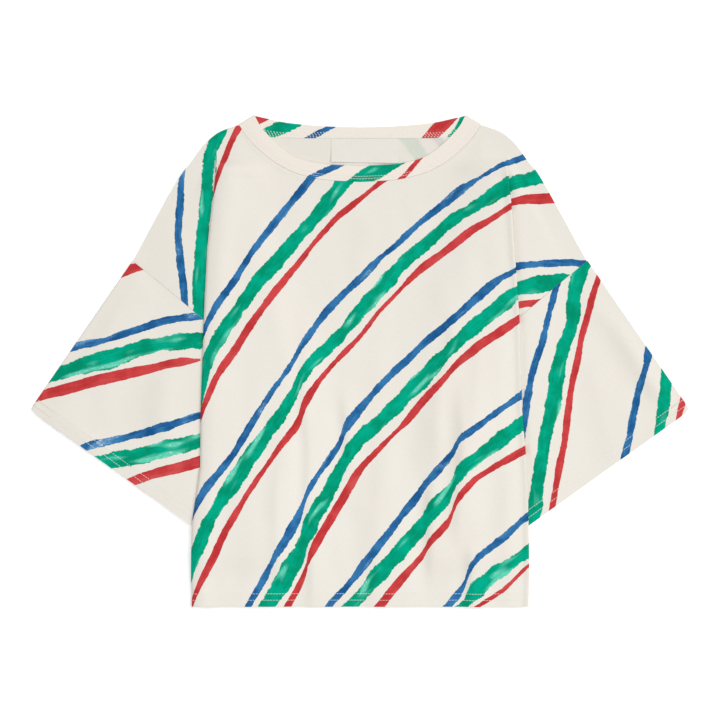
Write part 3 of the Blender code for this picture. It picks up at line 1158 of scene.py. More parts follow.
FRONT_NECKLINE: tuple[Plan, ...] = (
    (0.0, 178.5),
    (36.0, 180.7),
    (62.0, 186.6),
    (77.5, 193.7),
    (92.0, 203.1),
    (110.5, 220.5),
    (120.5, 235.0),
)
BACK_NECKLINE: tuple[Plan, ...] = (
    (0.0, 222.3),
    (65.0, 222.3),
    (88.0, 223.5),
    (104.0, 227.5),
    (120.5, 235.0),
)
FRONT_BAND_EDGE: tuple[Plan, ...] = (
    (0.0, 194.2),
    (36.0, 196.2),
    (60.0, 201.5),
    (74.0, 209.3),
    (88.0, 221.3),
    (99.0, 233.5),
    (105.0, 244.4),
)
BACK_BAND_EDGE: tuple[Plan, ...] = (
    (0.0, 233.0),
    (33.0, 233.9),
    (71.0, 237.2),
    (94.0, 241.9),
    (105.0, 244.4),
)
SHOULDER_LINE: tuple[Plan, ...] = (
    (120.5, 235.5),
    (139.5, 228.5),
    (150.5, 220.5),
    (159.0, 210.5),
    (169.0, 196.5),
    (181.0, 180.5),
    (226.5, 99.0),
)

HEM_ROWS = (0.0, 0.5, 1.3, 2.6, 4.2, 5.6, 6.2, 6.6, 7.0, 7.8, 9.5, 11.6, 12.6, 13.0, 13.4, 14.2)
HEM_ROWS += (15.2, 16.4, 18.0, 20.5)
STITCH_LINES = (6.6, 13.0)
# A turned-up hem's heights, and their distances from its edge, in millimetres.
HEM_RISE = 0.22
HEM_END = 13.6
HEM_FADE = 4.0
EDGE_DROP = 0.12
EDGE_ROUND = 1.6
STITCH_DIP = 0.07
STITCH_WIDTH = 0.7
SEAM_RELIEF = 0.12 * MM
SEAM_DIP_WIDTH = 1.0 * MM
SEAM_RIDGE_AT = 4 * MM
SEAM_RIDGE_WIDTH = 3 * MM


def hem_relief(distance: float) -> float:
    """How far a turned-up hem stands out at a distance from its edge."""
    inwards = distance / MM
    relief = HEM_RISE * (1 - ease((inwards - HEM_END) / HEM_FADE))
    relief -= EDGE_DROP * (1 - ease(inwards / EDGE_ROUND))
    for line in STITCH_LINES:
        relief -= STITCH_DIP * bell(inwards - line, STITCH_WIDTH)
    return relief * MM


def seam_relief(to_seam: float) -> float:
    """How the cloth dips into the armhole seam and stands up beside it."""
    ridge = bell(to_seam - SEAM_RIDGE_AT, SEAM_RIDGE_WIDTH)
    return SEAM_RELIEF * (ridge - bell(to_seam, SEAM_DIP_WIDTH))


@dataclass(frozen=True)
class Roll:
    """The soft roll along a crease: its height, how far in it peaks and how far it falls."""

    height: float
    peak: float
    fall: float

    def rise(self, inside: float) -> float:
        """How far the cloth stands up at a distance inside the crease."""
        if inside < self.peak:
            share = inside / self.peak
            return self.height * math.sqrt(max(share * (2 - share), 0.0))
        return self.height * bell(inside - self.peak, self.fall)


@dataclass
class BodyPanel:
    """The front or the back: one cut piece with a wedge folded in at each side."""

    name: str
    node: str
    face: Face
    neckline: Sequence[Plan]
    lay: Lay
    neck_gap: float
    inset: float = 0.0
    folds: Sequence[SoftFold] = ()
    step: float = 2.9 * MM
    neck_steps: int = 50
    shoulder_steps: int = 14
    bend_steps: int = 6
    tuck_steps: int = 9
    part_steps: int = 44
    underarm_width: float = 7.0 * MM
    shoulder_fade: int = 3
    left_roll: Roll = Roll(2.2 * MM, 9.0 * MM, 11.7 * MM)
    right_roll: Roll = Roll(1.8 * MM, 0.2 * MM, 4.0 * MM)
    spread: float = 0.2 * MM
    shoulder_slope: float = 0.85
    even_run: float = 24.0 * MM
    round_take: float = 3.2 * MM
    round_run: float = 9.0 * MM
    crowding: float = 1.9
    edge_share: float = 0.16
    upper_step: float = 1.8 * MM
    air: float = 1.3
    long_waves: Waves = Waves(1.8, 0.042, 3.1, 0.32)
    short_waves: Waves = Waves(0.6, 0.019, 7.7, 0.6)
    crease_calm: float = 22 * MM
    neck_calm: float = 36 * MM
    slack_at_top: float = 0.45
    slack_from: float = 60 * MM
    slack_run: float = 150 * MM
    neck_ridge: float = 0.38
    neck_ridge_at: float = 1.6
    neck_ridge_width: float = 3.4
    neck_dip: float = 0.25
    part_air: float = 0.6
    part_waves: Waves = Waves(1.0, 0.045, 5.3)
    part_height: float = 0.8 * MM
    part_calm: float = 12 * MM

    def __post_init__(self) -> None:
        """Work out the neckline and the shoulder line."""
        half = even_points(smooth_run(self.neckline), self.neck_steps)
        self.neck_points = moved_off(half, self.neck_gap)
        self.shoulder = smooth_run(SHOULDER_LINE)
        steps = self.shoulder_steps
        self.shoulder_shares = [
            1 - (1 - step / steps) ** self.crowding for step in range(1, steps + 1)
        ]
        outer = 1 - self.edge_share
        self.even_shares = [outer * step / self.neck_steps for step in range(self.neck_steps + 1)]
        self.even_shares += [outer + (1 - outer) * share for share in self.shoulder_shares]
        lay = self.lay
        hem = [lay.hem_y + row * MM for row in HEM_ROWS]
        self.lower = [*hem, *spaced(hem[-1] + self.step, lay.underarm_y, self.step)]
        self.upper = [
            *spaced(lay.underarm_y, lay.fold_closed_y, self.step),
            *spaced(lay.fold_closed_y, lay.crease_top_y, self.upper_step),
            lay.crease_top_y,
        ]

    @property
    def is_front(self) -> bool:
        """Whether this is the front."""
        return self.face is Face.FRONT

    def relief(self, side: Side, x: float, y: float) -> float:
        """What the main part adds to its plain height: folds, rolls and the hem."""
        if not self.is_front:
            return 0.0
        lay = self.lay
        hem = hem_relief(y - lay.hem_y)
        inside = lay.crease_x(side, y) - x
        closed = ease(lay.fold_turn(y) / math.pi)
        across = x * side.value
        roll = self.left_roll if side is Side.LEFT else self.right_roll
        relief = closed * roll.rise(inside)
        folds = sum(fold.rise(across / MM, y / MM) for fold in self.folds)
        calm = ease(inside / self.crease_calm) * ease((self.neck_y(x) - y) / self.neck_calm)
        slack = mix(self.slack_at_top, 1.0, ease((self.slack_from - y) / self.slack_run))
        soft = slack * self.long_waves.rise(across, y) + self.short_waves.rise(across, y)
        return relief + hem + calm * (folds + (self.air + soft) * MM)

    def slipped(self, x: float, y: float) -> float:
        """How far the print slips sideways at a place, into the soft folds' steep sides."""
        return sum(fold.slip(x / MM, y / MM) for fold in self.folds)

    def rounded(self, side: Side, x: float, y: float) -> float:
        """How much of the print the round edge of the front's left crease takes up."""
        if side is Side.RIGHT or not self.is_front:
            return 0.0
        share = max(1 - (self.lay.crease_x(side, y) - x) / self.round_run, 0.0)
        return self.round_take * share**2 * ease(self.lay.fold_turn(y) / math.pi)

    def neck_y(self, x: float) -> float:
        """The height of the top edge at a distance from the middle."""
        if x < self.neck_points[-1].x:
            return run_height(self.neck_points, x)
        return run_height(self.shoulder, x)

    def height(self, side: Side, x: float, y: float) -> float:
        """Height of the wall's middle in the main part."""
        lay = self.lay
        base = lay.solid_wall / 2
        if not self.is_front:
            return base
        below = (self.neck_y(x) - y) / MM
        seam = self.neck_ridge * bell(below - self.neck_ridge_at, self.neck_ridge_width)
        seam -= self.neck_dip * bell(below, 1)
        return base + lay.front_height(side, x, y) + self.relief(side, x, y) + seam * MM

    def top(self, x: float, y: float) -> float:
        """Height of the cloth's upper surface at a place on the main part."""
        side = Side.RIGHT if x >= 0 else Side.LEFT
        return self.height(side, abs(x), y) + self.lay.wall / 2

    def main_columns(self, side: Side, y: float) -> list[Vector]:
        """Plan points of one row of the main part, from the middle to the crease."""
        lay = self.lay
        share = (y - lay.hem_y) / (lay.crease_top_y - lay.hem_y)
        edge = lay.crease_x(side, y)
        top_edge = lay.crease_x(side, lay.crease_top_y)
        tops = list(self.neck_points)
        for share_out in self.shoulder_shares:
            x = mix(self.neck_points[-1].x, top_edge, share_out)
            tops.append(Vector((x, run_height(self.shoulder, x))))
        points = []
        for number, top in enumerate(tops):
            even = self.even_shares[number]
            x = mix(even, top.x / top_edge, ease(share)) * edge
            points.append(Vector((x, mix(lay.hem_y, top.y, share))))
        return points

    def turned_in(self, side: Side, y: float) -> list[Vector]:
        """The first fold and the part turned in, as x and z, from the crease inwards."""
        lay = self.lay
        way = self.face.value
        turn = lay.fold_turn(y)
        x = lay.crease_x(side, y)
        z = self.height(side, x, y)
        x -= self.inset
        path = []
        spread = self.spread * (1 + math.cos(turn)) / 2
        for step in range(1, self.bend_steps + 1):
            share = step / self.bend_steps
            angle = turn * share
            turned = Vector((math.sin(angle), way * (1 - math.cos(angle))))
            path.append(Vector((x + spread * share, z)) + lay.bend * turned)
        bend_end = path[-1]
        heading = Vector((math.cos(turn), way * math.sin(turn)))
        width = max(lay.tuck(side, y) - self.inset, lay.shortest_fold)
        for step in range(1, self.tuck_steps + 1):
            path.append(bend_end + heading * width * step / self.tuck_steps)
        return path

    def second_fold(self, side: Side, y: float) -> list[Vector]:
        """The second fold, as x and z, after its first point."""
        lay = self.lay
        turn = lay.fold_turn(y)
        start = self.turned_in(side, y)[-1]
        path = []
        spread = self.spread * (1 + math.cos(turn)) / 2
        for step in range(1, self.bend_steps + 1):
            share = step / self.bend_steps
            angle = turn * (1 - share)
            x = math.sin(turn) - math.sin(angle)
            z = self.face.value * (math.cos(angle) - math.cos(turn))
            path.append(start + lay.bend * Vector((x, z)) + Vector((spread * share, 0.0)))
        return path

    def drop(self, side: Side, x: float, y: float) -> float:
        """How far the shoulder's slope takes a place outside the crease down, near the top."""
        lay = self.lay
        share = max(y - lay.fold_closed_y, 0.0) / (lay.crease_top_y - lay.fold_closed_y)
        return self.shoulder_slope * max(x - lay.crease_x(side, y), 0.0) * share**2

    def zone(self, side: Side, x: float, y: float) -> Zone:
        """The strokes of a main point: the left part's run over it above the wedge."""
        above = y > self.lay.fold_closed_y + 6 * MM and x > 100 * MM
        return Zone.LEFT_TOP if above and side is Side.LEFT and self.is_front else Zone.MAIN

    def half_row(self, cloth: ClothMesh, side: Side, y: float, middle: int | None) -> list[int]:
        """Add one row on one side, from the middle outwards, and give its point numbers."""
        lay = self.lay
        sign = side.value
        shrink = 1 - self.inset / lay.crease_x(side, y)
        row = [] if middle is None else [middle]
        plan = self.main_columns(side, y)
        for point in plan[len(row) :]:
            x = point.x * shrink
            height = self.height(side, point.x, point.y if self.is_front else y)
            if self.is_front and point.x > 0.999 * plan[-1].x:
                height = self.height(side, point.x, y)
            printed_x = sign * (x + self.rounded(side, point.x, y))
            place = (printed_x + self.slipped(sign * x, point.y), point.y)
            spot = (sign * x, point.y, height)
            row.append(cloth.add(spot, place, self.zone(side, x, point.y)))
        row_y = plan[-1].y
        edge_x = plan[-1].x * shrink
        length = self.rounded(side, lay.crease_x(side, y), y)
        before = Vector((edge_x, 0.0))
        for number, step in enumerate(self.turned_in(side, y)):
            length += abs(step.x - before.x) if number >= self.bend_steps else lay.bend / 2
            before = step
            step_y = row_y - self.drop(side, step.x, y)
            place = (sign * (edge_x + length), step_y)
            zone = self.zone(side, edge_x, row_y)
            row.append(cloth.add((sign * step.x, step_y, step.y), place, zone))
        return row

    def part_rows(self, cloth: ClothMesh, side: Side, joins: Sequence[int]) -> list[list[int]]:
        """Add the second fold and the shoulder part, from the underarm up."""
        lay = self.lay
        sign = side.value
        base = lay.solid_wall / 2 + (lay.layer if self.is_front else 0.0)
        top_edge = lay.crease_x(side, lay.crease_top_y)
        top_y = run_height(self.shoulder, top_edge)
        stretch = (top_y - lay.hem_y) / (lay.crease_top_y - lay.hem_y)
        shoulder = [Vector((top_edge, top_y))]
        shoulder += [point for point in self.shoulder if point.x > top_edge]
        chord = even_points([shoulder[0], shoulder[-1]], self.part_steps)
        bulges = [a - b for a, b in zip(even_points(shoulder, self.part_steps), chord)]
        lowest = self.underarm_width / (lay.shoulder_tip - lay.underarm).length
        zone = Zone.LEFT_PART if side is Side.LEFT else Zone.RIGHT_PART
        turn = -sign * lay.sleeve_turn
        full_rise = lay.fold_rise(lay.fold_closed_y)
        rows = []
        for y, join in zip(self.upper, joins):
            share = (y - lay.underarm_y) / (lay.crease_top_y - lay.underarm_y)
            fold = self.second_fold(side, y)
            row_y = lay.hem_y + (y - lay.hem_y) * stretch
            rise = lay.fold_rise(y) + (lay.puff(y) if self.is_front else 0.0)
            start = Vector((fold[-1].x, row_y - self.drop(side, fold[-1].x, y)))
            seam = Vector((-lay.shown_gap, lay.shown_gap))
            stop = lay.armhole(mix(lowest, 1, share)) + seam
            closed = ease(lay.fold_turn(y) / math.pi)
            row = [join]
            for step in fold:
                place = (sign * step.x, row_y - self.drop(side, step.x, y))
                row.append(cloth.add((*place, step.y), place, zone, turn))
            for step in range(1, self.part_steps + 1):
                part = step / self.part_steps
                point = mix(start, stop, part) + bulges[step] * share**self.shoulder_fade
                far = ease((point.x - start.x) / self.even_run)
                near_rise = mix(rise, full_rise * lay.shoulder_share(point.y), far)
                height = base + near_rise * lay.lifted(side, point)
                to_seam = (stop - point).length
                height += self.part_relief(side, point, to_seam, part)
                if self.is_front:
                    height += closed * lay.swell(side, point)
                place = (sign * point.x, point.y)
                row.append(cloth.add((*place, height), place, zone, turn))
            rows.append(row)
        return rows

    def part_relief(self, side: Side, point: Vector, to_seam: float, part: float) -> float:
        """Soft unevenness of the front's shoulder part, which dips at the armhole seam."""
        if not self.is_front:
            return 0.0
        low = 1 - self.lay.lifted(side, point)
        soft = self.part_air + self.part_waves.rise(point.x * side.value, point.y)
        calm = ease(part * 4) * ease(to_seam / self.part_calm)
        return low * (soft * self.part_height * calm + seam_relief(to_seam))

    def build(
        self,
        prints: dict[Zone, BrushPrint],
        outside: bpy.types.Material,
        inside: bpy.types.Material,
    ) -> bpy.types.Object:
        """Make the panel and put it in its node's place.

        Args:
            prints: The strokes of each zone.
            outside: The right side's finish.
            inside: The wrong side's finish.

        Returns:
            The piece.
        """
        cloth = ClothMesh()
        rows = []
        joins: dict[Side, list[int]] = {Side.LEFT: [], Side.RIGHT: []}
        for y in [*self.lower, *self.upper]:
            left = self.half_row(cloth, Side.LEFT, y, None)
            right = self.half_row(cloth, Side.RIGHT, y, left[0])
            rows.append([*reversed(left), *right[1:]])
            joins[Side.LEFT].append(left[-1])
            joins[Side.RIGHT].append(right[-1])
        under = not self.is_front
        cloth.skin(rows, flip=under)
        for side in Side:
            part = self.part_rows(cloth, side, joins[side][len(self.lower) :])
            cloth.skin(part, flip=under != (side is Side.LEFT))
        return cloth.finish(self.name, self.lay.wall, prints, outside, inside)


def flat_ring(
    cloth: ClothMesh,
    front: Sequence[Vector],
    back: Sequence[Vector],
    bend: float,
    middle: Callable[[Vector], float],
    relief: Callable[[Vector, float], float],
    outwards: tuple[Vector, Vector],
    sign: int,
    back_place: Callable[[Vector], Plan],
    turn: float,
    bend_steps: int = 6,
) -> list[int]:
    """Add a closed row of a flattened tube: along the front, round an end, back and round.

    Args:
        cloth: The sheet to add to.
        front: Plan points along the upper layer.
        back: Plan points along the lower layer, which run the same way.
        bend: The radius of the ends.
        middle: The height between the layers at a point.
        relief: What the upper layer adds at a point and a share of the way along.
        outwards: The plan direction out of the first end and out of the last.
        sign: The sign of X.
        back_place: Where a point of the lower layer lies in the print.
        turn: How far the grain is turned.
        bend_steps: Pieces round each end.

    Returns:
        The numbers of the points.
    """
    zone_front, zone_back = Zone.MAIN, Zone.LEFT_PART
    ring = []
    for number, point in enumerate(front):
        share = number / (len(front) - 1)
        place = (sign * point.x, point.y)
        height = middle(point) + bend + relief(point, share)
        ring.append(cloth.add((*place, height), place, zone_front, turn))
    for first, (start, stop, heading) in enumerate(
        ((front[-1], back[-1], outwards[1]), (back[0], front[0], outwards[0]))
    ):
        way = 1 if first == 0 else -1
        for step in range(1, bend_steps):
            angle = math.pi * step / bend_steps
            point = mix(start, stop, step / bend_steps) + heading * bend * math.sin(angle)
            height = middle(start) + way * bend * math.cos(angle)
            place = (sign * point.x, point.y)
            ring.append(cloth.add((*place, height), place, zone_front, turn))
        if first == 0:
            for point in reversed(back):
                place = (sign * point.x, point.y)
                height = middle(point) - bend
                ring.append(cloth.add((*place, height), back_place(point), zone_back, turn))
    return ring


@dataclass
class Sleeve:
    """A wide elbow sleeve: a flattened tube from the armhole to the cuff."""

    side: Side
    lay: Lay
    across_steps: int = 72
    step: float = 3.0 * MM
    folds: Sequence[SoftFold] = ()
    blunt: float = 1.7 * MM
    blunt_reach: float = 3.6 * MM
    corner_reach: float = 8.0 * MM
    air: float = 1.2
    long_waves: Waves = Waves(1.4, 0.055, 2.2)
    short_waves: Waves = Waves(0.4, 0.02, 9.1)
    seam_calm: float = 16 * MM
    cuff_calm: float = 44 * MM
    cuff_loose: float = 20 * MM
    swell_run: float = 30 * MM

    @property
    def name(self) -> str:
        """The piece's name."""
        return f"sleeve_{self.side.name.lower()}_cloth"

    @property
    def node(self) -> str:
        """The node that the piece stands for."""
        return f"sleeve_{self.side.name.lower()}"

    def edge_distance(self, point: Vector) -> float:
        """How far a plan point is from the cuff's edge."""
        lay = self.lay
        along = (lay.cuff_under - lay.cuff_top).normalized()
        offset = point - lay.cuff_top
        return abs(along.x * offset.y - along.y * offset.x)

    def middle(self, point: Vector) -> float:
        """The height between the sleeve's two layers."""
        lay = self.lay
        rise = lay.fold_rise(lay.fold_closed_y) * lay.lifted(self.side, point)
        return lay.solid_wall / 2 + lay.bend + rise

    def relief(self, point: Vector, share: float) -> float:
        """Softness of the upper layer: air in it, ripples, the cuff's hem and the seam dip."""
        lay = self.lay
        low = 1 - lay.lifted(self.side, point)
        across = point.x * self.side.value
        edge = self.edge_distance(point)
        to_seam = self.seam_distance(point)
        calm = ease(share * 9) * ease(to_seam / self.seam_calm)
        calm *= ease((edge + self.cuff_loose) / self.cuff_calm)
        folds = sum(fold.rise(across / MM, point.y / MM) for fold in self.folds)
        soft = self.air + self.long_waves.rise(across, point.y)
        soft += self.short_waves.rise(across, point.y)
        corner = bell((point - lay.cuff_top).length, self.corner_reach)
        hem = hem_relief(edge) * (1 - corner)
        soft_part = calm * (soft * MM + folds)
        swell = lay.swell(self.side, point) * ease(edge / self.swell_run)
        return low * (hem + soft_part + seam_relief(to_seam)) + swell

    def seam_distance(self, point: Vector) -> float:
        """How far a plan point is from the armhole seam's chord."""
        lay = self.lay
        along = (lay.shoulder_tip - lay.underarm).normalized()
        offset = point - lay.underarm
        return abs(along.x * offset.y - along.y * offset.x)

    def top(self, point: Vector) -> float:
        """Height of the upper surface at a plan point, for stitches."""
        lift = self.relief(point, 0.5) + self.lay.bend + self.lay.wall / 2
        return self.middle(point) + lift

    def unrolled(self, point: Vector) -> Plan:
        """Where a point of the lower layer lies in the print: turned over the top edge."""
        lay = self.lay
        along = (lay.cuff_top - lay.shoulder_tip).normalized()
        offset = point - lay.shoulder_tip
        beside = offset - along * along.dot(offset)
        turned = point - 2 * beside
        return (self.side.value * turned.x, turned.y)

    def blunted(self, point: Vector) -> Vector:
        """A plan point drawn in where the cuff's outer corner is rounded."""
        lay = self.lay
        offset = point - lay.cuff_top
        inwards = (lay.armhole(0.6) - lay.cuff_top).normalized()
        return point + inwards * self.blunt * bell(offset.length, self.blunt_reach)

    def stations(self) -> list[float]:
        """Shares of the way from the armhole to the cuff, close together at the hem."""
        length = (self.lay.cuff_top - self.lay.shoulder_tip).length
        hem = [1 - row * MM / length for row in reversed(HEM_ROWS)]
        return [*spaced(0.0, hem[0] - self.step / length, self.step / length), *hem]

    def build(
        self,
        prints: dict[Zone, BrushPrint],
        outside: bpy.types.Material,
        inside: bpy.types.Material,
    ) -> bpy.types.Object:
        """Make the sleeve and put it in its node's place."""
        lay = self.lay
        cloth = ClothMesh()
        seam = Vector((lay.shown_gap, -lay.shown_gap))
        rows = []
        for down in self.stations():
            points = []
            for step in range(self.across_steps + 1):
                across = step / self.across_steps
                start = lay.armhole(1 - across) + seam
                end = mix(lay.cuff_top, lay.cuff_under, across)
                points.append(self.blunted(mix(start, end, down)))
            line = (points[-1] - points[0]).normalized()
            rows.append(
                flat_ring(
                    cloth,
                    points,
                    points,
                    lay.bend,
                    self.middle,
                    self.relief,
                    (-line, line),
                    self.side.value,
                    self.unrolled,
                    -self.side.value * math.radians(56),
                )
            )
        cloth.skin(rows, ring=True, flip=self.side is Side.LEFT)
        return cloth.finish(self.name, lay.wall, prints, outside, inside)


# The band's width, and its rows of thread from the seam inwards, in millimetres.
BAND_WIDTH = 17.0
BAND_ROWS = (3.0, 5.6)
LOOP_ROWS = (1.4, 3.7, 6.0)


@dataclass
class Neckband:
    """The round neckband: a doubled strip whose front half lies over its back half."""

    lay: Lay
    wall: float = 1.1 * MM
    solid_wall: float = 1.2 * MM
    lift: float = 0.1 * MM
    steps: int = 62
    rows: int = 9
    crown: float = 0.22 * MM
    row_dip: float = 0.12 * MM
    row_width: float = 0.7
    pucker_height: float = 0.12 * MM
    pucker_size: float = 0.006
    pucker_seed: float = 4.4
    pucker_share: float = 0.35
    name: str = "neckband_cloth"
    node: str = "neckband"

    def __post_init__(self) -> None:
        """Work out the layers' heights and the four lines."""
        self.bend = (self.solid_wall + self.lay.seam_gap) / 2
        self.middle = self.lift + self.solid_wall / 2 + self.bend
        self.seam_front = self.whole_line(FRONT_NECKLINE)
        self.seam_back = self.whole_line(BACK_NECKLINE)
        self.edge_front = self.whole_line(FRONT_BAND_EDGE)
        self.edge_back = self.whole_line(BACK_BAND_EDGE)

    def whole_line(self, half: Sequence[Plan]) -> list[Vector]:
        """A line right across, from a half outline, left to right."""
        right = even_points(smooth_run(half), self.steps)
        left = [Vector((-point.x, point.y)) for point in reversed(right)]
        return [*left, *right[1:]]

    def line(self, share: float, back: bool = False) -> list[Vector]:
        """The plan line at a share of the way from the seam to the folded edge."""
        seam = self.seam_back if back else self.seam_front
        edge = self.edge_back if back else self.edge_front
        return [mix(a, b, share) for a, b in zip(seam, edge)]

    def relief(self, share: float, x: float) -> float:
        """The crown of the doubled strip, with small puckers near its seam."""
        pucker = self.pucker_height * ripple(x, share, self.pucker_size, self.pucker_seed)
        pucker *= bell(share, self.pucker_share)
        dips = sum(bell(share * BAND_WIDTH - row, self.row_width) for row in BAND_ROWS)
        return self.crown * math.sin(math.pi * share) + pucker - self.row_dip * dips

    def top(self, share: float, x: float, back: bool = False) -> float:
        """Height of the upper surface of a layer, for stitches."""
        level = -self.bend if back else self.bend + self.relief(share, x)
        return self.middle + level + self.wall / 2

    def build(
        self,
        prints: dict[Zone, BrushPrint],
        outside: bpy.types.Material,
    ) -> bpy.types.Object:
        """Make the neckband and put it in its node's place."""
        fold = (Vector(FRONT_NECKLINE[-1]) - Vector(FRONT_BAND_EDGE[-1])).normalized()
        outwards = Vector((-fold.y, fold.x))
        ends = (Vector((-outwards.x, outwards.y)), outwards)
        cloth = ClothMesh()
        rings = []
        for row in range(self.rows + 1):
            share = row / self.rows
            rings.append(
                flat_ring(
                    cloth,
                    self.line(share),
                    self.line(share, back=True),
                    self.bend,
                    lambda _: self.middle,
                    lambda point, along, share=share: self.relief(share, point.x)
                    * ease(10 * min(along, 1 - along)),
                    ends,
                    1,
                    lambda point: (point.x, point.y),
                    0.0,
                )
            )
        cloth.skin(rings, ring=True, flip=False)
        return cloth.finish(self.name, self.wall, prints, outside, outside)


@dataclass
class WovenLabel:
    """The label inside the back of the neck, sewn in at its top, its face up and bare."""

    center: Plan = (4.8 * MM, 210.0 * MM)
    size: Plan = (67.0 * MM, 23.2 * MM)
    droop: float = 1.3 * MM
    base: float = 1.22 * MM
    wall: float = 0.45 * MM
    corner_lift: float = 0.3
    corner_shift: float = 0.1
    turned_height: float = 0.12 * MM
    turned_share: float = 0.10
    turned_fade: float = 0.04
    across: int = 56
    up: int = 22
    name: str = "neck_label_cloth"
    node: str = "neck_label"

    def height(self, u: float, v: float) -> float:
        """Height at shares across and up: the corners lift, and the bottom is turned in."""
        wave = math.cos(math.tau * (u + self.corner_shift))
        lift = MM * (1 - v) ** 3 * (1 - self.corner_lift + self.corner_lift * wave)
        turned = 1 - ease((v - self.turned_share) / self.turned_fade)
        return self.base + lift + self.turned_height * turned

    def build(self, finish: bpy.types.Material) -> bpy.types.Object:
        """Make the label and put it in its node's place."""
        cloth = ClothMesh()
        rows = []
        for j in range(self.up + 1):
            row = []
            for i in range(self.across + 1):
                u, v = i / self.across, j / self.up
                x = self.center[0] + (u - 0.5) * self.size[0]
                y = self.center[1] + (v - 0.5) * self.size[1] - self.droop * u * (1 - v)
                row.append(cloth.add((x, y, self.height(u, v)), (x, y)))
            rows.append(row)
        cloth.skin(rows)
        return cloth.finish(self.name, self.wall, {}, finish, finish)


# ---------------------------------------------------------------------------------------------
# Sewing
# ---------------------------------------------------------------------------------------------


@dataclass(frozen=True)
class StitchSize:
    """The sizes of one kind of stitch."""

    length: float
    gap: float
    thread: float
    slant: float = 0.0


HEM_STITCH = StitchSize(2.8 * MM, 0.06 * MM, 0.27 * MM)
COVER_STITCH = StitchSize(2.7 * MM, 0.4 * MM, 0.48 * MM, -0.72)
STITCH_LIFT = 0.05 * MM
LOOP_SINK = 0.26 * MM
STITCH_STEP = 1.5 * MM
STITCH_INSET = 1 * MM
CUFF_SPAN = (0.004, 0.998)
CUFF_STEP = 0.008


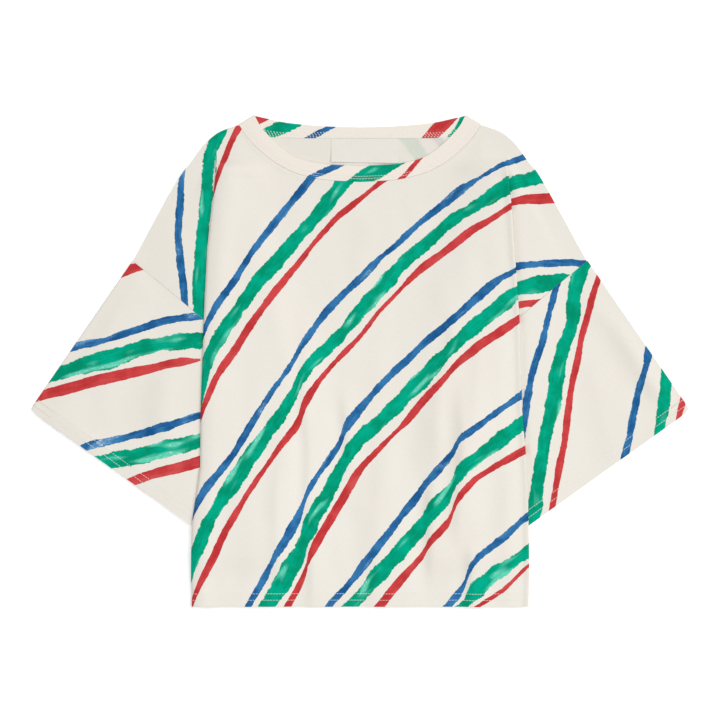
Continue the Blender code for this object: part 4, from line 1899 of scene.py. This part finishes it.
@dataclass
class StitchMaker:
    """Geometry Nodes that lay a row of stitches along every line of a curve."""

    finish: bpy.types.Material
    seed: int = 5

    def __post_init__(self) -> None:
        """Build the node tree."""
        tree = bpy.data.node_groups.new("row_of_stitches", "GeometryNodeTree")
        self.tree = tree
        face = tree.interface
        face.new_socket("Geometry", in_out="INPUT", socket_type="NodeSocketGeometry")
        for name in ("Stitch length", "Gap", "Thread radius", "Slant", "Unevenness"):
            face.new_socket(name, in_out="INPUT", socket_type="NodeSocketFloat")
        face.new_socket("Seed", in_out="INPUT", socket_type="NodeSocketInt")
        face.new_socket("Geometry", in_out="OUTPUT", socket_type="NodeSocketGeometry")
        start = tree.nodes.new("NodeGroupInput")
        stop = tree.nodes.new("NodeGroupOutput")

        pitch = self._node("ShaderNodeMath", {0: start.outputs[1], 1: start.outputs[2]})
        spread = self._node(
            "GeometryNodeResampleCurve",
            {"Curve": start.outputs[0], "Length": pitch.outputs[0]},
            mode="LENGTH",
        )
        heading = self._node("GeometryNodeInputTangent")
        turned = self._node(
            "FunctionNodeAlignRotationToVector", {"Vector": heading.outputs[0]}, axis="X"
        )
        slant = self._node("ShaderNodeCombineXYZ", {2: start.outputs[4]})
        slanted = self._node(
            "FunctionNodeRotateRotation",
            {"Rotation": turned.outputs[0], "Rotate By": slant.outputs[0]},
            rotation_space="LOCAL",
        )
        bead = self._node(
            "GeometryNodeMeshUVSphere", {"Segments": 6, "Rings": 5, "Radius": 1.0}
        )
        smooth = self._node("GeometryNodeSetShadeSmooth", {0: bead.outputs[0]})
        half = self._node("ShaderNodeMath", {0: start.outputs[1], 1: 0.5}, operation="MULTIPLY")
        low = self._node("ShaderNodeMath", {0: 1.0, 1: start.outputs[5]}, operation="SUBTRACT")
        high = self._node("ShaderNodeMath", {0: 1.0, 1: start.outputs[5]})
        uneven = self._node(
            "FunctionNodeRandomValue",
            {2: low.outputs[0], 3: high.outputs[0], "Seed": start.outputs[6]},
        )
        long = self._node(
            "ShaderNodeMath", {0: half.outputs[0], 1: uneven.outputs[1]}, operation="MULTIPLY"
        )
        size = self._node(
            "ShaderNodeCombineXYZ",
            {0: long.outputs[0], 1: start.outputs[3], 2: start.outputs[3]},
        )
        laid = self._node(
            "GeometryNodeInstanceOnPoints",
            {
                "Points": spread.outputs[0],
                "Instance": smooth.outputs[0],
                "Rotation": slanted.outputs[0],
                "Scale": size.outputs[0],
            },
        )
        real = self._node("GeometryNodeRealizeInstances", {0: laid.outputs[0]})
        dressed = self._node("GeometryNodeSetMaterial", {"Geometry": real.outputs[0]})
        dressed.inputs["Material"].default_value = self.finish
        tree.links.new(dressed.outputs[0], stop.inputs[0])

    def _node(self, kind: str, inputs: dict | None = None, **settings) -> bpy.types.Node:
        """Add a node to the tree, with a value or a link for each input."""
        made = self.tree.nodes.new(kind)
        for key, value in settings.items():
            setattr(made, key, value)
        for key, value in (inputs or {}).items():
            if isinstance(value, bpy.types.NodeSocket):
                self.tree.links.new(value, made.inputs[key])
            else:
                made.inputs[key].default_value = value
        return made

    def sew(
        self, name: str, lines: Sequence[Sequence[Sequence[float]]], size: StitchSize
    ) -> bpy.types.Object:
        """Lay stitches along lines.

        Args:
            name: The piece's name.
            lines: Lines of points, in metres.
            size: The stitch's sizes.

        Returns:
            The stitches as one plain mesh.
        """
        curve = bpy.data.curves.new(f"{name}_lines", "CURVE")
        curve.dimensions = "3D"
        for line in lines:
            spline = curve.splines.new("POLY")
            spline.points.add(len(line) - 1)
            for knot, point in zip(spline.points, line):
                knot.co = (*point, 1.0)
        guide = bpy.data.objects.new(f"{name}_guide", curve)
        bpy.context.scene.collection.objects.link(guide)
        modifier = guide.modifiers.new("stitches", "NODES")
        modifier.node_group = self.tree
        values = {
            "Stitch length": size.length,
            "Gap": size.gap,
            "Thread radius": size.thread,
            "Slant": size.slant,
            "Unevenness": 0.08,
            "Seed": self.seed,
        }
        for item in self.tree.interface.items_tree:
            if item.in_out == "INPUT" and item.name in values:
                modifier[item.identifier] = values[item.name]
        graph = bpy.context.evaluated_depsgraph_get()
        mesh = bpy.data.meshes.new_from_object(guide.evaluated_get(graph))
        mesh.name = name
        piece = bpy.data.objects.new(name, mesh)
        bpy.context.scene.collection.objects.link(piece)
        bpy.data.objects.remove(guide)
        return piece


# ---------------------------------------------------------------------------------------------
# Studio
# ---------------------------------------------------------------------------------------------


@dataclass
class Studio:
    """A pale floor, soft light and a camera straight above the shirt."""

    view_width: float = 0.72
    view_center: Plan = (0.0, 0.5 * MM)
    lens: float = 85.0
    sensor: float = 36.0
    lamp_place: tuple[float, float, float] = (0.08, -0.15, 1.25)
    lamp_size: float = 1.1
    lamp_power: float = 7.45
    window_from: tuple[float, float, float] = (0.9, 0.55, 1.0)
    window_spread: float = math.radians(34)
    window_power: float = 1.22
    world_power: float = 0.37
    floor_half: float = 4.0
    floor_level: float = -0.2 * MM
    far: float = 20.0

    def build(self) -> None:
        """Make the floor, the lights, the world and the camera."""
        self._floor()
        self._overhead()
        self._window()
        world = bpy.data.worlds.new("soft_white")
        world.use_nodes = True
        background = world.node_tree.nodes["Background"]
        background.inputs[0].default_value = (1.0, 1.0, 1.0, 1.0)
        background.inputs[1].default_value = self.world_power
        bpy.context.scene.world = world
        self._camera()
        settings = bpy.context.scene.view_settings
        settings.view_transform = "Standard"
        settings.look = "None"

    def _floor(self) -> None:
        """A large plain floor just under the shirt."""
        half = self.floor_half
        data = bpy.data.meshes.new("floor")
        corners = [(-half, -half), (half, -half), (half, half), (-half, half)]
        data.from_pydata([(x, y, self.floor_level) for x, y in corners], [], [(0, 1, 2, 3)])
        data.materials.append(PaperFinish().build())
        floor = bpy.data.objects.new("floor", data)
        bpy.context.scene.collection.objects.link(floor)

    def _overhead(self) -> None:
        """A wide soft lamp over the hem, so that the sleeves and the neck get a little less."""
        data = bpy.data.lights.new("overhead", "AREA")
        data.shape = "DISK"
        data.size = self.lamp_size
        data.energy = self.lamp_power
        lamp = bpy.data.objects.new("overhead", data)
        lamp.location = self.lamp_place
        bpy.context.scene.collection.objects.link(lamp)

    def _window(self) -> None:
        """Soft even light that comes from the upper right."""
        data = bpy.data.lights.new("window", "SUN")
        data.angle = self.window_spread
        data.energy = self.window_power
        lamp = bpy.data.objects.new("window", data)
        lamp.rotation_euler = Vector(self.window_from).to_track_quat("Z", "Y").to_euler()
        bpy.context.scene.collection.objects.link(lamp)

    def _camera(self) -> None:
        """The camera, straight above, with the photograph's frame."""
        data = bpy.data.cameras.new("camera")
        data.lens = self.lens
        data.sensor_width = self.sensor
        data.clip_end = self.far
        camera = bpy.data.objects.new("camera", data)
        distance = self.view_width * self.lens / self.sensor
        camera.location = (*self.view_center, distance)
        bpy.context.scene.collection.objects.link(camera)
        bpy.context.scene.camera = camera


# ---------------------------------------------------------------------------------------------
# The shirt
# ---------------------------------------------------------------------------------------------


FRONT_FOLDS = (
    SoftFold(94.0, -168.0, -42.0, 12.0, 3.6, 2.0, 10.0),
    SoftFold(66.0, -215.0, -125.0, 9.0, 2.6, 2.0, 6.0),
    SoftFold(105.5, -250.0, -190.0, 9.0, 2.8, -2.0, 9.0),
    SoftFold(84.5, -12.0, 38.0, 9.0, 1.6, 3.0, 3.0),
    SoftFold(-56.0, -250.0, 10.0, 8.0, 1.9, -7.0, 6.5),
    SoftFold(-18.0, -112.0, -40.0, 8.0, 2.0, -2.0, 6.5),
    SoftFold(-88.0, -225.0, -110.0, 10.0, 1.5, 2.0, 2.0),
    SoftFold(105.0, -88.0, 22.0, 20.0, 2.8, 6.0),
    SoftFold(70.0, -95.0, 10.0, 19.0, 3.0, 8.0),
    SoftFold(8.0, -250.0, -90.0, 18.0, 1.4, 8.0),
    SoftFold(138.0, -240.0, -90.0, 17.0, 1.0, -6.0),
)
LEFT_SLEEVE_FOLDS = (
    SoftFold(-209.0, -80.0, -14.0, 33.0, 5.6, 6.0),
    SoftFold(-262.0, -70.0, -10.0, 18.0, 0.5, -6.0),
)
RIGHT_SLEEVE_FOLDS = (
    SoftFold(271.0, -40.0, 42.0, 25.0, 6.2, -48.0),
    SoftFold(232.0, -100.0, -10.0, 18.0, 1.2, -20.0),
)


FRONT_SEED = 8
SLEEVE_BRUSH_REACH = 260 * MM
BAND_BRUSH_REACH = 12 * MM


@dataclass(frozen=True)
class SleeveLook:
    """What differs between the two sleeves: print, brush seed, folds and dry-brush."""

    strokes: Sequence[Stroke]
    seed: int
    folds: Sequence[SoftFold]
    wash_from: float


SLEEVE_LOOKS = {
    Side.LEFT: SleeveLook(LEFT_SLEEVE_STROKES, 31, LEFT_SLEEVE_FOLDS, 0.51),
    Side.RIGHT: SleeveLook(RIGHT_SLEEVE_STROKES, 32, RIGHT_SLEEVE_FOLDS, 0.63),
}


@dataclass
class Shirt:
    """The whole t-shirt, piece by piece."""

    lay: Lay = field(default_factory=Lay)

    def prints(self) -> tuple[dict[Zone, BrushPrint], dict[Zone, BrushPrint]]:
        """The strokes of the front's and the back's zones."""
        groups = zip(FRONT_GROUPS, RED_HALF_WIDTHS)
        main = [stroke for group, red in groups for stroke in group_strokes(group, red)]
        main += EDGE_STROKES
        blue_over_shoulder = [stroke for stroke in main if stroke.dye is Dye.BLUE][1]
        front = {
            Zone.MAIN: BrushPrint(main, FRONT_SEED),
            Zone.LEFT_PART: BrushPrint(LEFT_PART_STROKES, FRONT_SEED),
            Zone.RIGHT_PART: BrushPrint([*RIGHT_PART_STROKES, blue_over_shoulder], FRONT_SEED),
            Zone.LEFT_TOP: BrushPrint([*EDGE_STROKES, *LEFT_PART_STROKES], FRONT_SEED),
        }
        behind = mirrored(main, BACK_SHIFT)
        last = mirrored(group_strokes(FRONT_GROUPS[2], RED_HALF_WIDTHS[2]), BACK_SHIFT)
        for repeat in (2, 3):
            shift_x, shift_y = (repeat * part for part in BACK_REPEAT)
            for stroke in last:
                places = tuple((x + shift_x, y + shift_y) for x, y in stroke.places)
                behind.append(Stroke(stroke.dye, stroke.half_width, places))
        left = mirrored(RIGHT_PART_STROKES)
        right = mirrored(LEFT_PART_STROKES)
        back = {
            Zone.MAIN: BrushPrint(behind, 21),
            Zone.LEFT_PART: BrushPrint(left, 22),
            Zone.RIGHT_PART: BrushPrint(right, 23),
        }
        return front, back

    def build(self) -> None:
        """Build every piece, and hide the part that each stands for."""
        wrong_side = PaintedJersey(
            "printed_jersey_wrong_side",
            ground=(0.815, 0.786, 0.716, 1.0),
            warm=(0.826, 0.780, 0.704, 1.0),
            strength=0.17,
            softness=2.4,
        ).build()
        stitches = StitchMaker(ThreadFinish().build())
        self.panels(wrong_side, stitches)
        for side in Side:
            self.sleeve(side, wrong_side, stitches)
        self.neckband(stitches)
        self.label()

    def panels(self, wrong_side: bpy.types.Material, stitches: StitchMaker) -> None:
        """Build the back and the front, with the front's hem stitches."""
        lay = self.lay
        jersey = PaintedJersey("printed_jersey").build()
        front_prints, back_prints = self.prints()
        back = BodyPanel(
            "back_panel_cloth", "back_panel", Face.BACK, BACK_NECKLINE, lay, 0.08 * MM, 1.5 * MM
        )
        piece = back.build(back_prints, jersey, wrong_side)
        self.settle(piece, back.node)

        front = BodyPanel(
            "front_panel_cloth",
            "front_panel",
            Face.FRONT,
            FRONT_NECKLINE,
            lay,
            0.25 * MM,
            folds=FRONT_FOLDS,
        )
        hem = stitches.sew("hem_stitches", self.hem_lines(front), HEM_STITCH)
        piece = front.build(front_prints, jersey, wrong_side)
        self.settle(piece, front.node)
        self.settle(hem, None)

    def sleeve(self, side: Side, wrong_side: bpy.types.Material, stitches: StitchMaker) -> None:
        """Build one sleeve, with its cuff's stitches."""
        look = SLEEVE_LOOKS[side]
        side_name = side.name.lower()
        jersey = PaintedJersey(f"printed_jersey_{side_name}_sleeve", wash_from=look.wash_from)
        sleeve = Sleeve(side, self.lay, folds=look.folds)
        brush = BrushPrint(look.strokes, look.seed, reach=SLEEVE_BRUSH_REACH)
        prints = {Zone.MAIN: brush, Zone.LEFT_PART: brush}
        piece = sleeve.build(prints, jersey.build(), wrong_side)
        self.settle(piece, sleeve.node)
        cuff = stitches.sew(f"cuff_stitches_{side_name}", self.cuff_lines(sleeve), HEM_STITCH)
        self.settle(cuff, None)

    def neckband(self, stitches: StitchMaker) -> None:
        """Build the neckband, with the stitches of its seam."""
        jersey = PaintedJersey(
            "band_jersey", ground=(0.886, 0.822, 0.740, 1.0), warm=(0.893, 0.826, 0.744, 1.0)
        ).build()
        band = Neckband(self.lay)
        prints = {
            Zone.MAIN: BrushPrint(BAND_FRONT_STROKES, 41, reach=BAND_BRUSH_REACH),
            Zone.LEFT_PART: BrushPrint(BAND_BACK_STROKES, 42, reach=BAND_BRUSH_REACH),
        }
        piece = band.build(prints, jersey)
        self.settle(piece, band.node)
        seam_rows = stitches.sew("band_stitches", self.band_lines(band), HEM_STITCH)
        loops = stitches.sew("band_loop_stitches", self.loop_lines(band), COVER_STITCH)
        for threads in (seam_rows, loops):
            self.settle(threads, None)

    def label(self) -> None:
        """Build the bare label inside the back of the neck."""
        label = WovenLabel()
        piece = label.build(WovenLabelFinish().build())
        self.settle(piece, label.node)

    def settle(self, piece: bpy.types.Object, node: str | None) -> None:
        """Let a piece ride on the shirt and stand for its node."""
        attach(piece, BODY)
        if node is not None:
            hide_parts(node)
        LOG.info("%s: %d polygons", piece.name, len(piece.data.polygons))

    def hem_lines(self, front: BodyPanel) -> list[Line]:
        """The two stitch lines of the front's hem."""
        lines = []
        for row in STITCH_LINES:
            y = self.lay.hem_y + row * MM
            left = -self.lay.crease_x(Side.LEFT, y) + STITCH_INSET
            right = self.lay.crease_x(Side.RIGHT, y) - STITCH_INSET
            xs = [*spaced(left, right, STITCH_STEP), right]
            lines.append([(x, y, front.top(x, y) + STITCH_LIFT) for x in xs])
        return lines

    def cuff_lines(self, sleeve: Sleeve) -> list[Line]:
        """The two stitch lines of a cuff's upper layer."""
        lay = self.lay
        along = lay.cuff_under - lay.cuff_top
        inwards = Vector((along.y, -along.x)).normalized()
        if inwards.dot(lay.shoulder_tip - lay.cuff_top) < 0:
            inwards = -inwards
        lines = []
        for row in STITCH_LINES:
            line = []
            for share in [*spaced(*CUFF_SPAN, CUFF_STEP), CUFF_SPAN[1]]:
                point = lay.cuff_top + along * share + inwards * row * MM
                z = sleeve.top(point) + STITCH_LIFT
                line.append((sleeve.side.value * point.x, point.y, z))
            lines.append(line)
        return lines

    def band_lines(self, band: Neckband) -> list[Line]:
        """The two rows of stitches along the front of the band."""
        lines = []
        for row in BAND_ROWS:
            share = row / BAND_WIDTH
            points = band.line(share)[2:-2]
            lines.append([(p.x, p.y, band.top(share, p.x) + STITCH_LIFT) for p in points])
        return lines

    def loop_lines(self, band: Neckband) -> list[Line]:
        """The looper threads of the same seam, on the inside of the back of the band."""
        lines = []
        for row in LOOP_ROWS:
            line = []
            for seam, edge in list(zip(band.seam_back, band.edge_back))[5:-5]:
                share = row * MM / (edge - seam).length
                place = mix(seam, edge, share)
                height = band.top(share, place.x, back=True) - LOOP_SINK
                line.append((place.x, place.y, height))
            lines.append(line)
        return lines


def main() -> None:
    """Build the shirt and its studio."""
    logging.basicConfig(level=logging.INFO, format="%(name)s: %(message)s")
    Studio().build()
    Shirt().build()
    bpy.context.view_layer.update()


if __name__ == "__main__":
    main()
